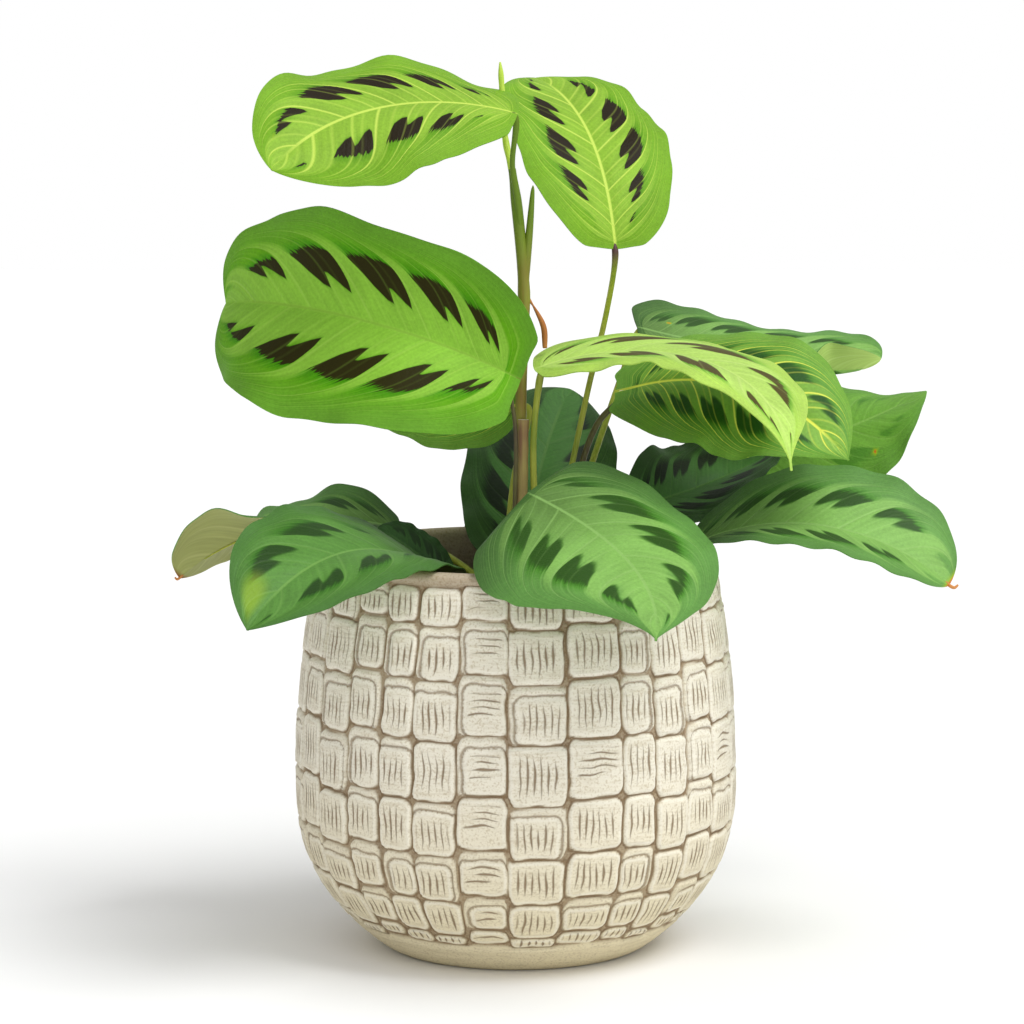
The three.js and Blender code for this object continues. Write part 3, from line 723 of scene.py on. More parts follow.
def midrib_track(leaf):
    track = [Vector(leaf["base"])]
    for step in range(MIDRIB_STEPS):
        ahead = blade_direction(leaf, (step + 0.5) / MIDRIB_STEPS)
        track.append(track[-1] + ahead * leaf["length"] / MIDRIB_STEPS)
    return track


def midrib_frame(leaf, track, u):
    """Where the midrib is at u, and the directions along it, across the blade and up from it."""
    place = min(u * MIDRIB_STEPS, MIDRIB_STEPS - 1e-6)
    first = int(place)
    along = blade_direction(leaf, u)
    turn = math.radians(blend(*leaf["heading"], u))
    level = Vector((-math.sin(turn), math.cos(turn), 0))
    over = along.cross(level)
    roll = math.radians(blend(*leaf["roll"], u))
    across = level * math.cos(roll) + over * math.sin(roll)
    up = over * math.cos(roll) - level * math.sin(roll)
    return blend(track[first], track[first + 1], place - first), along, across, up


def width_share(leaf, u):
    """Half width at u as a share of the widest."""
    place = u ** leaf["widest"]
    full = max(1 - abs(1 - 2 * place) ** leaf["full"], 0)
    return full ** (1 / leaf["round"][0 if place < 0.5 else 1])


def vein_count(leaf, u, out, side):
    """How many side veins lie between the base and this place, with the share of the way to the next."""
    first, growth, start = leaf["cells"][side]
    ground = u - VEIN_LEAN * out - VEIN_SWEEP * out**7 - start
    if ground < 0:
        return ground / first + PATCH_PLACE
    return (math.sqrt(first**2 + 4 * growth * ground) - first) / (2 * growth) + PATCH_PLACE


def notch_width(leaf, u):
    """Least half width: the notch between the lobes at the base, and the blunt point at the tip."""
    return blend(NOTCH * leaf["lobe"], BLUNT_END, smooth(u / 0.1))


def turn_flap(leaf, u, out, width, fold, curl, lateral, height):
    """Towards its tip one side of the blade is creased and stands up, so that its underside shows."""
    grown = smooth((u - leaf["flap_from"]) / 0.25)
    crease = 1 - leaf["flap_share"] * grown
    if out <= crease:
        return lateral, height
    crease_lateral = width * (math.sin(fold) - math.sin(fold - curl * crease)) / curl
    crease_height = width * (math.cos(fold - curl * crease) - math.cos(fold)) / curl
    turn = math.radians(leaf["flap_turn"]) * grown
    out_by = lateral - crease_lateral
    up_by = height - crease_height
    return (
        crease_lateral + out_by * math.cos(turn) - up_by * math.sin(turn),
        crease_height + out_by * math.sin(turn) + up_by * math.cos(turn),
    )


def blade_spot(leaf, frame_here, share, u, v):
    """The place of the point that is u along the blade and v across it, from -1 to 1 between its edges."""
    side = 0 if v > 0 else 1
    out = abs(v)
    at, along, across, up = frame_here
    stray = leaf["uneven"] * noise.noise(Vector((6 * u, 10 * side, leaf["phase"]))) * out**3
    width = max(leaf["half_width"][side] * share * (1 + stray), notch_width(leaf, u) * out)
    fold = math.radians(leaf["fold"][side])
    curl = math.radians(leaf["curl"][side]) or 1e-4
    lateral = width * (math.sin(fold) - math.sin(fold - curl * out)) / curl
    height = width * (math.cos(fold - curl * out) - math.cos(fold)) / curl
    phase = math.radians(leaf["phase"]) + (0 if side == 0 else WAVE_LAG)
    ripple = leaf["ripple"] * leaf["calm"][side]
    height += ripple * out**2 * share * math.sin(2 * math.pi * leaf["waves"] * u + phase)
    small_ripple = SMALL_RIPPLE * leaf["calm"][side]
    height += small_ripple * out**5 * share * math.sin(2 * math.pi * SMALL_WAVES * u + 2.1 * phase)
    pillow = abs(math.sin(math.pi * (vein_count(leaf, u, out, side) + 0.02))) ** 0.7
    height += PILLOW * share * pillow * smooth(out / 0.15) * smooth((1 - out) / 0.25)
    if side == leaf["flap_side"]:
        lateral, height = turn_flap(leaf, u, out, width, fold, curl, lateral, height)
    back = leaf["lobe"] * leaf["length"] * out**2 * (1 - u) ** 5 * (0.65 + 0.35 * smooth(u / 0.03))
    return at + across * (lateral if v > 0 else -lateral) + up * height - along * back


def grow_blade(leaf):
    """The blade as a grid placed by the leaf's own sizes, with maps for its veins, and thickened."""
    bpy.ops.object.select_all(action="DESELECT")
    bpy.ops.mesh.primitive_grid_add(x_subdivisions=ALONG_FACES, y_subdivisions=ACROSS_FACES, size=2)
    blade = bpy.context.object
    mesh = blade.data
    mesh.uv_layers[0].name = "blade"
    track = midrib_track(leaf)
    stations = [(1 - math.cos(math.pi * i / ALONG_FACES)) / 2 for i in range(ALONG_FACES + 1)]
    frames = [midrib_frame(leaf, track, u) for u in stations]
    shares = [width_share(leaf, u) for u in stations]
    withered = mesh.attributes.new("withered", "FLOAT", "POINT")
    places = []
    for vertex in mesh.vertices:
        i = round((vertex.co.x + 1) / 2 * ALONG_FACES)
        v = vertex.co.y
        u = stations[i]
        places.append((u, v, shares[i]))
        vertex.co = blade_spot(leaf, frames[i], shares[i], u, v) * MM
        dry = smooth((u - leaf["dry_from"]) / 0.03)
        for spot_u, spot_v, reach, strength in leaf["dry_spots"]:
            off = math.hypot((u - spot_u) * leaf["length"], (v - spot_v) * leaf["half_width"][0])
            dry = max(dry, strength * smooth(1.4 - off / reach))
        withered.data[vertex.index].value = dry
    mesh.uv_layers.new(name="veins")
    mesh.uv_layers.new(name="span")
    blade_map, vein_map, span_map = (mesh.uv_layers[name].data for name in ("blade", "veins", "span"))
    for face in mesh.polygons:
        side = 1 if sum(places[k][1] for k in face.vertices) < 0 else 0
        for loop in face.loop_indices:
            u, v, share = places[mesh.loops[loop].vertex_index]
            width = max(leaf["half_width"][side] * share, BLUNT_END)
            vein_map[loop].uv = (vein_count(leaf, u, abs(v), side) + 20 * side, abs(v))
            span_map[loop].uv = (abs(v) * width, (1 - abs(v)) * width)
            blade_map[loop].uv = (u, 0.5 + v / 2)
    thick = blade.modifiers.new("blade_thickness", "SOLIDIFY")
    thick.thickness = BLADE_THICKNESS * MM
    thick.offset = 0
    thick.material_offset = 1
    thick.material_offset_rim = 0
    blade.data.materials.append(leaf["top"])
    blade.data.materials.append(leaf["under"])
    bpy.ops.object.modifier_apply(modifier=thick.name)
    bpy.ops.object.shade_smooth_by_angle(angle=math.radians(60))
    return blade, track


def grow_leaf_stalk(leaf, track):
    """The stalk, swollen just under the blade, and on from there the midrib, thinner towards the tip."""
    radius = leaf["stalk_radius"]
    at, along, _, up = midrib_frame(leaf, track, 0)
    joint = at - up * radius
    points = leaf["stalk"] if leaf["on_shoot"] else root_points(*leaf["stalk"][0]) + leaf["stalk"][1:]
    path = smooth_path(points + [tuple(joint - along * leaf["straight"]), tuple(joint)], PATH_STEPS)
    radii = []
    for step, spot in enumerate(path):
        swell = 0.25 * math.exp(-((((spot - joint).length - 6) / 4) ** 2))
        radii.append(radius * (1.15 - 0.2 * step / PATH_STEPS + swell))
    for step in range(1, RIB_STEPS + 1):
        u = RIB_END * step / RIB_STEPS
        at, _, _, up = midrib_frame(leaf, track, u)
        rib = blend(0.85 * radius, 0.25, u / RIB_END)
        path.append(at - up * (0.95 * rib + 0.05))
        radii.append(rib)
    stalk = grow_stem("stalk", path, radii, leaf["stalk_material"])
    blush = stalk.data.attributes.new("blush", "FLOAT", "POINT")
    for vertex in stalk.data.vertices:
        off = (vertex.co / MM - joint).length
        blush.data[vertex.index].value = leaf["blush"] * smooth(1.6 - off / 9)
    return stalk


def grow_tip(leaf, track):
    """The dried point beyond the blade, curled up as it withered."""
    at, along, across, up = midrib_frame(leaf, track, 1)
    size = leaf["tip_curl"]
    points = [
        at - along * 2,
        at,
        at + (along * 0.6 + up * 0.2) * size,
        at + (along * 0.7 + up * 0.6 + across * 0.3) * size,
    ]
    path = smooth_path(points, TIP_STEPS)
    radii = [0.35 + 0.1 * size * math.sin(math.pi * (0.15 + 0.8 * i / TIP_STEPS)) for i in range(len(path))]
    return grow_stem("tip", path, radii, dry_brown)


# The inner end of a patch: how far out it begins, from one side vein across to the next. It has two long
# points, or it is nearly blunt.
POINTED_INNER_END = [
    (0, 0.66), (0.03, 0.5), (0.07, 0.3), (0.12, 0.2), (0.2, 0.24), (0.33, 0.34), (0.375, 0.34),
    (0.43, 0.2), (0.52, 0.22), (0.64, 0.32), (0.76, 0.5), (0.83, 0.9), (1, 1),
]
BLUNT_INNER_END = [
    (0, 0.7), (0.03, 0.5), (0.07, 0.3), (0.12, 0.25), (0.2, 0.27), (0.32, 0.36), (0.375, 0.37),
    (0.43, 0.24), (0.53, 0.24), (0.66, 0.3), (0.76, 0.48), (0.82, 0.9), (1, 1),
]


def blade_material(
    name, lawn, edge, heart, vein, rib, patch, halo, vein_strength, softness,
    patch_strength=1.0, middle=0.43, lessening=1.0, inner_end=BLUNT_INNER_END, patch_start=0.0,
    base_tone_and_painted_shade=1.0, shine=0.22,
):
    """A blade's upper side, a satin skin. The maps give the cell between two side veins and the way outwards.

    Patches are largest at the middle of the blade and lessen from there to both ends.
    """
    material, tree, shader = new_material(name, 0.5, shine)
    veins = add_node(tree, "UVMap", uv_map="veins")
    span = add_node(tree, "UVMap", uv_map="span")
    blade = add_node(tree, "UVMap", uv_map="blade")
    cell = add_node(tree, "SeparateXYZ", {0: veins})
    reach = add_node(tree, "SeparateXYZ", {0: span})
    where = add_node(tree, "SeparateXYZ", {0: blade})
    in_cell = add_node(tree, "Math", {0: cell.outputs["X"]}, operation="FRACT")
    number = add_node(tree, "Math", {0: cell.outputs["X"]}, operation="FLOOR")
    chance = add_node(tree, "TexWhiteNoise", {"W": number}, noise_dimensions="1D")
    # Streaks follow the veins: about a dozen to a cell across it, and long from the midrib to the edge.
    stretch = add_node(tree, "Mapping", {0: veins, "Scale": (14, 1.6, 1)})
    streaks = add_node(tree, "TexNoise", {"Vector": stretch, "Scale": 1.0, "Detail": 2.0})
    # Grain of the leaf's cells, about 1.2 mm: coarser than real, so that it shows.
    place = add_node(tree, "TexCoord")
    grain = add_node(tree, "TexNoise", {"Vector": place.outputs["Object"], "Scale": 800.0, "Detail": 2.0})
    cloud = add_node(tree, "TexNoise", {"Vector": place.outputs["Object"], "Scale": 45.0, "Detail": 2.0})

    # Out from the midrib: the pale heart with fingers along the veins, then the lawn, then the edge.
    finger = add_node(
        tree, "FloatCurve",
        {"Value": in_cell},
        points=[
            (0, 0.6), (0.08, 0.4), (0.2, 0.3), (0.38, 0.36), (0.5, 0.34), (0.72, 0.6), (0.84, 0.7),
            (0.94, 0.7), (1, 0.6),
        ],
    )
    finger_end = add_node(tree, "Math", {0: streaks, 1: 0.16, 2: finger}, operation="MULTIPLY_ADD")
    from_finger = add_node(tree, "Math", {0: finger_end, 1: cell.outputs["Y"]}, operation="SUBTRACT")
    heart_share = add_node(
        tree, "MapRange",
        {"Value": from_finger, "From Min": -0.08, "From Max": 0.18},
        interpolation_type="SMOOTHSTEP",
    )
    edge_share = add_node(
        tree, "MapRange",
        {"Value": cell.outputs["Y"], "From Min": 0.55, "From Max": 1.0},
        interpolation_type="SMOOTHSTEP",
    )
    lawn_colour = add_node(tree, "Mix", {0: edge_share, 6: linear(lawn), 7: linear(edge)}, data_type="RGBA")
    base_colour = add_node(
        tree, "Mix", {0: heart_share, 6: lawn_colour.outputs[2], 7: linear(heart)}, data_type="RGBA"
    )

    # A patch lies between two side veins. Its inner end has two points, its outer end is torn along streaks.
    inner = add_node(tree, "FloatCurve", {"Value": in_cell}, points=inner_end)
    outer = add_node(
        tree, "FloatCurve",
        {"Value": in_cell},
        points=[
            (0, 0.62), (0.1, 0.66), (0.35, 0.67), (0.5, 0.65), (0.7, 0.63), (0.79, 0.6), (0.84, 0.4), (1, 0),
        ],
    )
    from_middle = add_node(tree, "Math", {0: where.outputs["X"], 1: middle}, operation="SUBTRACT")
    squared = add_node(tree, "Math", {0: from_middle, 1: from_middle}, operation="MULTIPLY")
    smaller = add_node(tree, "Math", {0: squared, 1: lessening}, operation="MULTIPLY")
    lessen = add_node(tree, "Math", {0: chance.outputs[0], 1: 0.06, 2: smaller}, operation="MULTIPLY_ADD")
    tear = add_node(tree, "Mapping", {0: veins, "Scale": (26, 5, 1)})
    teeth = add_node(tree, "TexNoise", {"Vector": tear, "Scale": 1.0, "Detail": 2.0})
    torn = add_node(tree, "Math", {0: teeth, 1: 0.17, 2: -0.085}, operation="MULTIPLY_ADD")
    outer_torn = add_node(tree, "Math", {0: outer, 1: torn}, operation="ADD")
    outer_edge = add_node(tree, "Math", {0: outer_torn, 1: lessen}, operation="SUBTRACT")
    inner_here = add_node(tree, "Math", {0: inner, 1: patch_start}, operation="ADD")
    inner_edge = add_node(tree, "Math", {0: lessen, 1: 0.5, 2: inner_here}, operation="MULTIPLY_ADD")
    past_inner = add_node(tree, "Math", {0: cell.outputs["Y"], 1: inner_edge}, operation="SUBTRACT")
    short_of_outer = add_node(tree, "Math", {0: outer_edge, 1: cell.outputs["Y"]}, operation="SUBTRACT")
    depth = add_node(tree, "Math", {0: past_inner, 1: short_of_outer}, operation="MINIMUM")
    halo_share = add_node(
        tree, "MapRange",
        {"Value": short_of_outer, "From Min": -0.14, "From Max": 0.02},
        interpolation_type="SMOOTHSTEP",
    )
    near_patch = add_node(
        tree, "MapRange",
        {"Value": past_inner, "From Min": -0.05, "From Max": 0.06},
        interpolation_type="SMOOTHSTEP",
    )
    halo_here = add_node(tree, "Math", {0: halo_share, 1: near_patch}, operation="MULTIPLY")
    with_halo = add_node(
        tree, "Mix", {0: halo_here, 6: base_colour.outputs[2], 7: linear(halo)}, data_type="RGBA"
    )

    # Fine streaks and a slow cloud shift the green, then the veins lie over it.
    fine = add_node(tree, "Math", {0: grain, 1: 0.9, 2: streaks}, operation="MULTIPLY_ADD")
    tone = add_node(tree, "Math", {0: fine, 1: cloud}, operation="ADD")
    light = add_node(
        tree, "MapRange", {"Value": tone, "From Min": 1.0, "From Max": 1.9, "To Min": 0.8, "To Max": 1.18}
    )
    # Towards its base the blade darkens: partly a deeper green, partly painted shade of the leaves above it.
    base_tone_and_shade = add_node(
        tree, "MapRange",
        {"Value": where.outputs["X"], "From Min": 0.0, "From Max": 0.45, "To Min": base_tone_and_painted_shade, "To Max": 1.0},
        interpolation_type="SMOOTHSTEP",
    )
    tone_with_base_shade = add_node(tree, "Math", {0: light, 1: base_tone_and_shade}, operation="MULTIPLY")
    toned = add_node(
        tree, "Mix", {0: 1.0, 6: with_halo.outputs[2], 7: tone_with_base_shade}, data_type="RGBA", blend_type="MULTIPLY"
    )
    patch_share = add_node(
        tree, "MapRange",
        {"Value": depth, "From Min": -softness, "From Max": softness, "To Max": patch_strength},
        interpolation_type="SMOOTHSTEP",
    )
    patched = add_node(tree, "Mix", {0: patch_share, 6: toned.outputs[2], 7: linear(patch)}, data_type="RGBA")
    vein_line = add_node(
        tree, "FloatCurve",
        {"Value": in_cell},
        points=[
            (0, 1), (0.014, 0.75), (0.036, 0), (0.2, 0), (0.24, 0.2), (0.28, 0), (0.37, 0), (0.405, 0.62),
            (0.44, 0), (0.68, 0), (0.72, 0.3), (0.76, 0), (0.964, 0), (0.986, 0.75), (1, 1),
        ],
    )
    rib_line = add_node(
        tree, "MapRange",
        {"Value": reach.outputs["X"], "From Min": 0.35, "From Max": 1.05, "To Min": 1.0, "To Max": 0.0},
        interpolation_type="SMOOTHSTEP",
    )
    fade = add_node(
        tree, "MapRange",
        {"Value": reach.outputs["Y"], "From Min": 0.5, "From Max": 8.0, "To Min": 0.35, "To Max": 1.0},
    )
    vein_here = add_node(tree, "Math", {0: vein_line, 1: fade}, operation="MULTIPLY")
    # A side vein shows less where it crosses a patch.
    over_patch = add_node(
        tree, "MapRange", {"Value": patch_share, "To Min": vein_strength, "To Max": 0.35 * vein_strength}
    )
    vein_drawn = add_node(tree, "Math", {0: vein_here, 1: over_patch}, operation="MULTIPLY")
    rib_left = add_node(
        tree, "MapRange",
        {
            "Value": where.outputs["X"], "From Min": 0.78, "From Max": 0.97,
            "To Min": max(vein_strength, 0.6), "To Max": 0.0,
        },
        interpolation_type="SMOOTHSTEP",
    )
    rib_drawn = add_node(tree, "Math", {0: rib_line, 1: rib_left}, operation="MULTIPLY")
    lines = add_node(tree, "Math", {0: vein_drawn, 1: rib_drawn}, operation="MAXIMUM")
    line_colour = add_node(tree, "Mix", {0: rib_drawn, 6: linear(vein), 7: linear(rib)}, data_type="RGBA")
    veined = add_node(
        tree, "Mix", {0: lines, 6: patched.outputs[2], 7: line_colour.outputs[2]}, data_type="RGBA"
    )
    # Where the blade withers it first turns yellow green, then dries to orange brown.
    withered = add_node(tree, "Attribute", attribute_name="withered")
    dry_colour = add_node(
        tree, "ValToRGB",
        {0: withered.outputs["Fac"]},
        stops=[(0.45, linear("93b01c")), (0.8, linear("c0701f"))],
    )
    dry_share = add_node(
        tree, "MapRange", {"Value": withered.outputs["Fac"], "From Min": 0.0, "From Max": 0.6}
    )
    dried = add_node(tree, "Mix", {0: dry_share, 6: veined.outputs[2], 7: dry_colour}, data_type="RGBA")
    tree.links.new(dried.outputs[2], shader.inputs["Base Color"])
    relief = add_node(tree, "Math", {0: vein_line, 1: -0.8, 2: fine}, operation="MULTIPLY_ADD")
    surface = add_node(tree, "Bump", {"Strength": 0.35, "Distance": 0.0005, "Height": relief})
    tree.links.new(surface.outputs[0], shader.inputs["Normal"])
    return material


# Young blade: light yellow green, thin, with yellow green veins and sharp brown patches.
light_blade = blade_material(
    "young_blade", lawn="6fa01f", edge="74a628", heart="86b034", vein="c6de5e", rib="cce264", patch="1f1703",
    halo="578f10", vein_strength=0.8, softness=0.012, middle=0.5, lessening=1.3, patch_start=0.02, shine=0.12,
)
# Vivid blade: saturated green with a pale feather along its midrib and dark brown patches.
vivid_blade = blade_material(
    "vivid_blade", lawn="5f9f10", edge="649a2c", heart="83b63a", vein="9cc850", rib="6f982a", patch="292706",
    halo="3d8806", vein_strength=0.45, softness=0.012, inner_end=POINTED_INNER_END, patch_start=0.03,
    shine=0.08,
)
# Newest blade: pale lime, satin, its patches still brown with a green rim.
lime_blade = blade_material(
    "lime_blade", lawn="9fc84c", edge="aed258", heart="aed262", vein="cbe484", rib="bddc70", patch="4a380c",
    halo="5f9f1a", vein_strength=0.4, softness=0.02, patch_strength=0.94, patch_start=0.02,
)
# Striped blade: green bands between bright yellow veins, dark green patches with soft rims.
striped_blade = blade_material(
    "striped_blade", lawn="5a932c", edge="6a9f36", heart="78a83a", vein="e2e85a", rib="dfe652",
    patch="1d4a0c", halo="3c7414", vein_strength=1.0, softness=0.05, patch_strength=0.9, patch_start=0.03,
)
# Grown blade: mid green, greyish bloom, lighter feather, dark green patches; base deeper green and painted
# shade.
grown_blade = blade_material(
    "grown_blade", lawn="629543", edge="5b8d40", heart="7eae54", vein="93bd6a", rib="89b462", patch="284d10",
    halo="41801c", vein_strength=0.4, softness=0.045, patch_start=0.04, base_tone_and_painted_shade=0.45,
)
# Sunlit blade: warm bright green, painted lighter for the sun on it, its patches only just there.
painted_sunlit_blade = blade_material(
    "painted_sunlit_blade", lawn="659a35", edge="5f9333", heart="6ea23b", vein="84b252", rib="8fba5c", patch="35701c",
    halo="5c9230", vein_strength=0.4, softness=0.06, patch_strength=0.4, patch_start=0.1, base_tone_and_painted_shade=0.8,
)
# Low blade: deeper and warmer green than the grown ones, its feather hardly lighter.
low_blade = blade_material(
    "low_blade", lawn="487729", edge="45722f", heart="548436", vein="729f4c", rib="7ca856", patch="1f400d",
    halo="326a14", vein_strength=0.35, softness=0.045, middle=0.6, lessening=1.8, patch_start=0.04,
    base_tone_and_painted_shade=0.5,
)
# Old blade: deep green, almost black patches, faint veins.
old_blade = blade_material(
    "old_blade", lawn="2b4d1b", edge="345825", heart="42702f", vein="587e3d", rib="587e3d", patch="0e2008",
    halo="1b3a11", vein_strength=0.35, softness=0.045, patch_start=0.03, base_tone_and_painted_shade=0.8,
)
# Shaded blade: the small leaf low among the others, its deep green painted darker for the shade it lies in,
# hardly a patch.
shade_painted_blade = blade_material(
    "shade_painted_blade", lawn="24441a", edge="2b4f21", heart="2f5623", vein="456b33", rib="4a7038", patch="14300c",
    halo="1b3a11", vein_strength=0.3, softness=0.05, patch_strength=0.5, base_tone_and_painted_shade=0.9,
)


def underside_material(name, colour, vein):
    """Underside of a blade: paler and duller than the top, with faint lighter veins."""
    material, tree, shader = new_material(name, 0.6, 0.25)
    veins = add_node(tree, "UVMap", uv_map="veins")
    cell = add_node(tree, "SeparateXYZ", {0: veins})
    in_cell = add_node(tree, "Math", {0: cell.outputs["X"]}, operation="FRACT")
    line = add_node(
        tree, "FloatCurve",
        {"Value": in_cell},
        points=[(0, 0.8), (0.06, 0), (0.36, 0), (0.405, 0.5), (0.45, 0), (0.94, 0), (1, 0.8)],
    )
    stretch = add_node(tree, "Mapping", {0: veins, "Scale": (14, 1.6, 1)})
    streaks = add_node(tree, "TexNoise", {"Vector": stretch, "Scale": 1.0, "Detail": 3.0})
    tone = add_node(tree, "MapRange", {"Value": streaks, "To Min": 0.7, "To Max": 1.2})
    plain = add_node(
        tree, "Mix", {0: 1.0, 6: linear(colour), 7: tone}, data_type="RGBA", blend_type="MULTIPLY"
    )
    lined = add_node(tree, "Mix", {0: line, 6: plain.outputs[2], 7: linear(vein)}, data_type="RGBA")
    withered = add_node(tree, "Attribute", attribute_name="withered")
    dried = add_node(
        tree, "Mix", {0: withered.outputs["Fac"], 6: lined.outputs[2], 7: linear("8a5a22")}, data_type="RGBA"
    )
    tree.links.new(dried.outputs[2], shader.inputs["Base Color"])
    return material


young_underside = underside_material("young_underside", "a6c664", "b6d27a")
pale_underside = underside_material("pale_underside", "a5ac68", "b4b978")
grown_underside = underside_material("grown_underside", "88a662", "98b672")

# What a leaf has where its own entry says nothing else. A blade is given by its base, its length and its half
# widths, left and right of its midrib, in mm, and by how it turns from base to tip, in degrees: heading round
# Z from +X, pitch above level and roll about its midrib. Fold and curl bend its two halves.
COMMON_LEAF = dict(
    stalk_material=petiole_green,
    on_shoot=False,  # whether its stalk grows out of the shoot and not out of the soil
    straight=7,  # mm of straight stalk before the blade
    blush=0,  # how red the stalk is there
    widest=1,  # 1 where the blade is widest at its middle, more where that is nearer to its tip
    full=2.35,  # how full its sides are
    round=(2.2, 1.8),  # how round its base and its tip are
    lobe=0.05,  # how far the base's two lobes reach back, as a share of the length
    uneven=0.05,  # how far the outline strays, as a share of the half width
    waves=2.5,  # ripples along an edge
    calm=(1, 1),  # the share of them that each edge has
    cells=(CELLS, CELLS),
    flap_side=None,
    dry_from=2,  # the share of its length from where it is dry, here never
    dry_spots=[],  # each as its place along and across the blade, its reach in mm and how dry it is
    tip_curl=0,  # mm of dried point beyond the tip
)
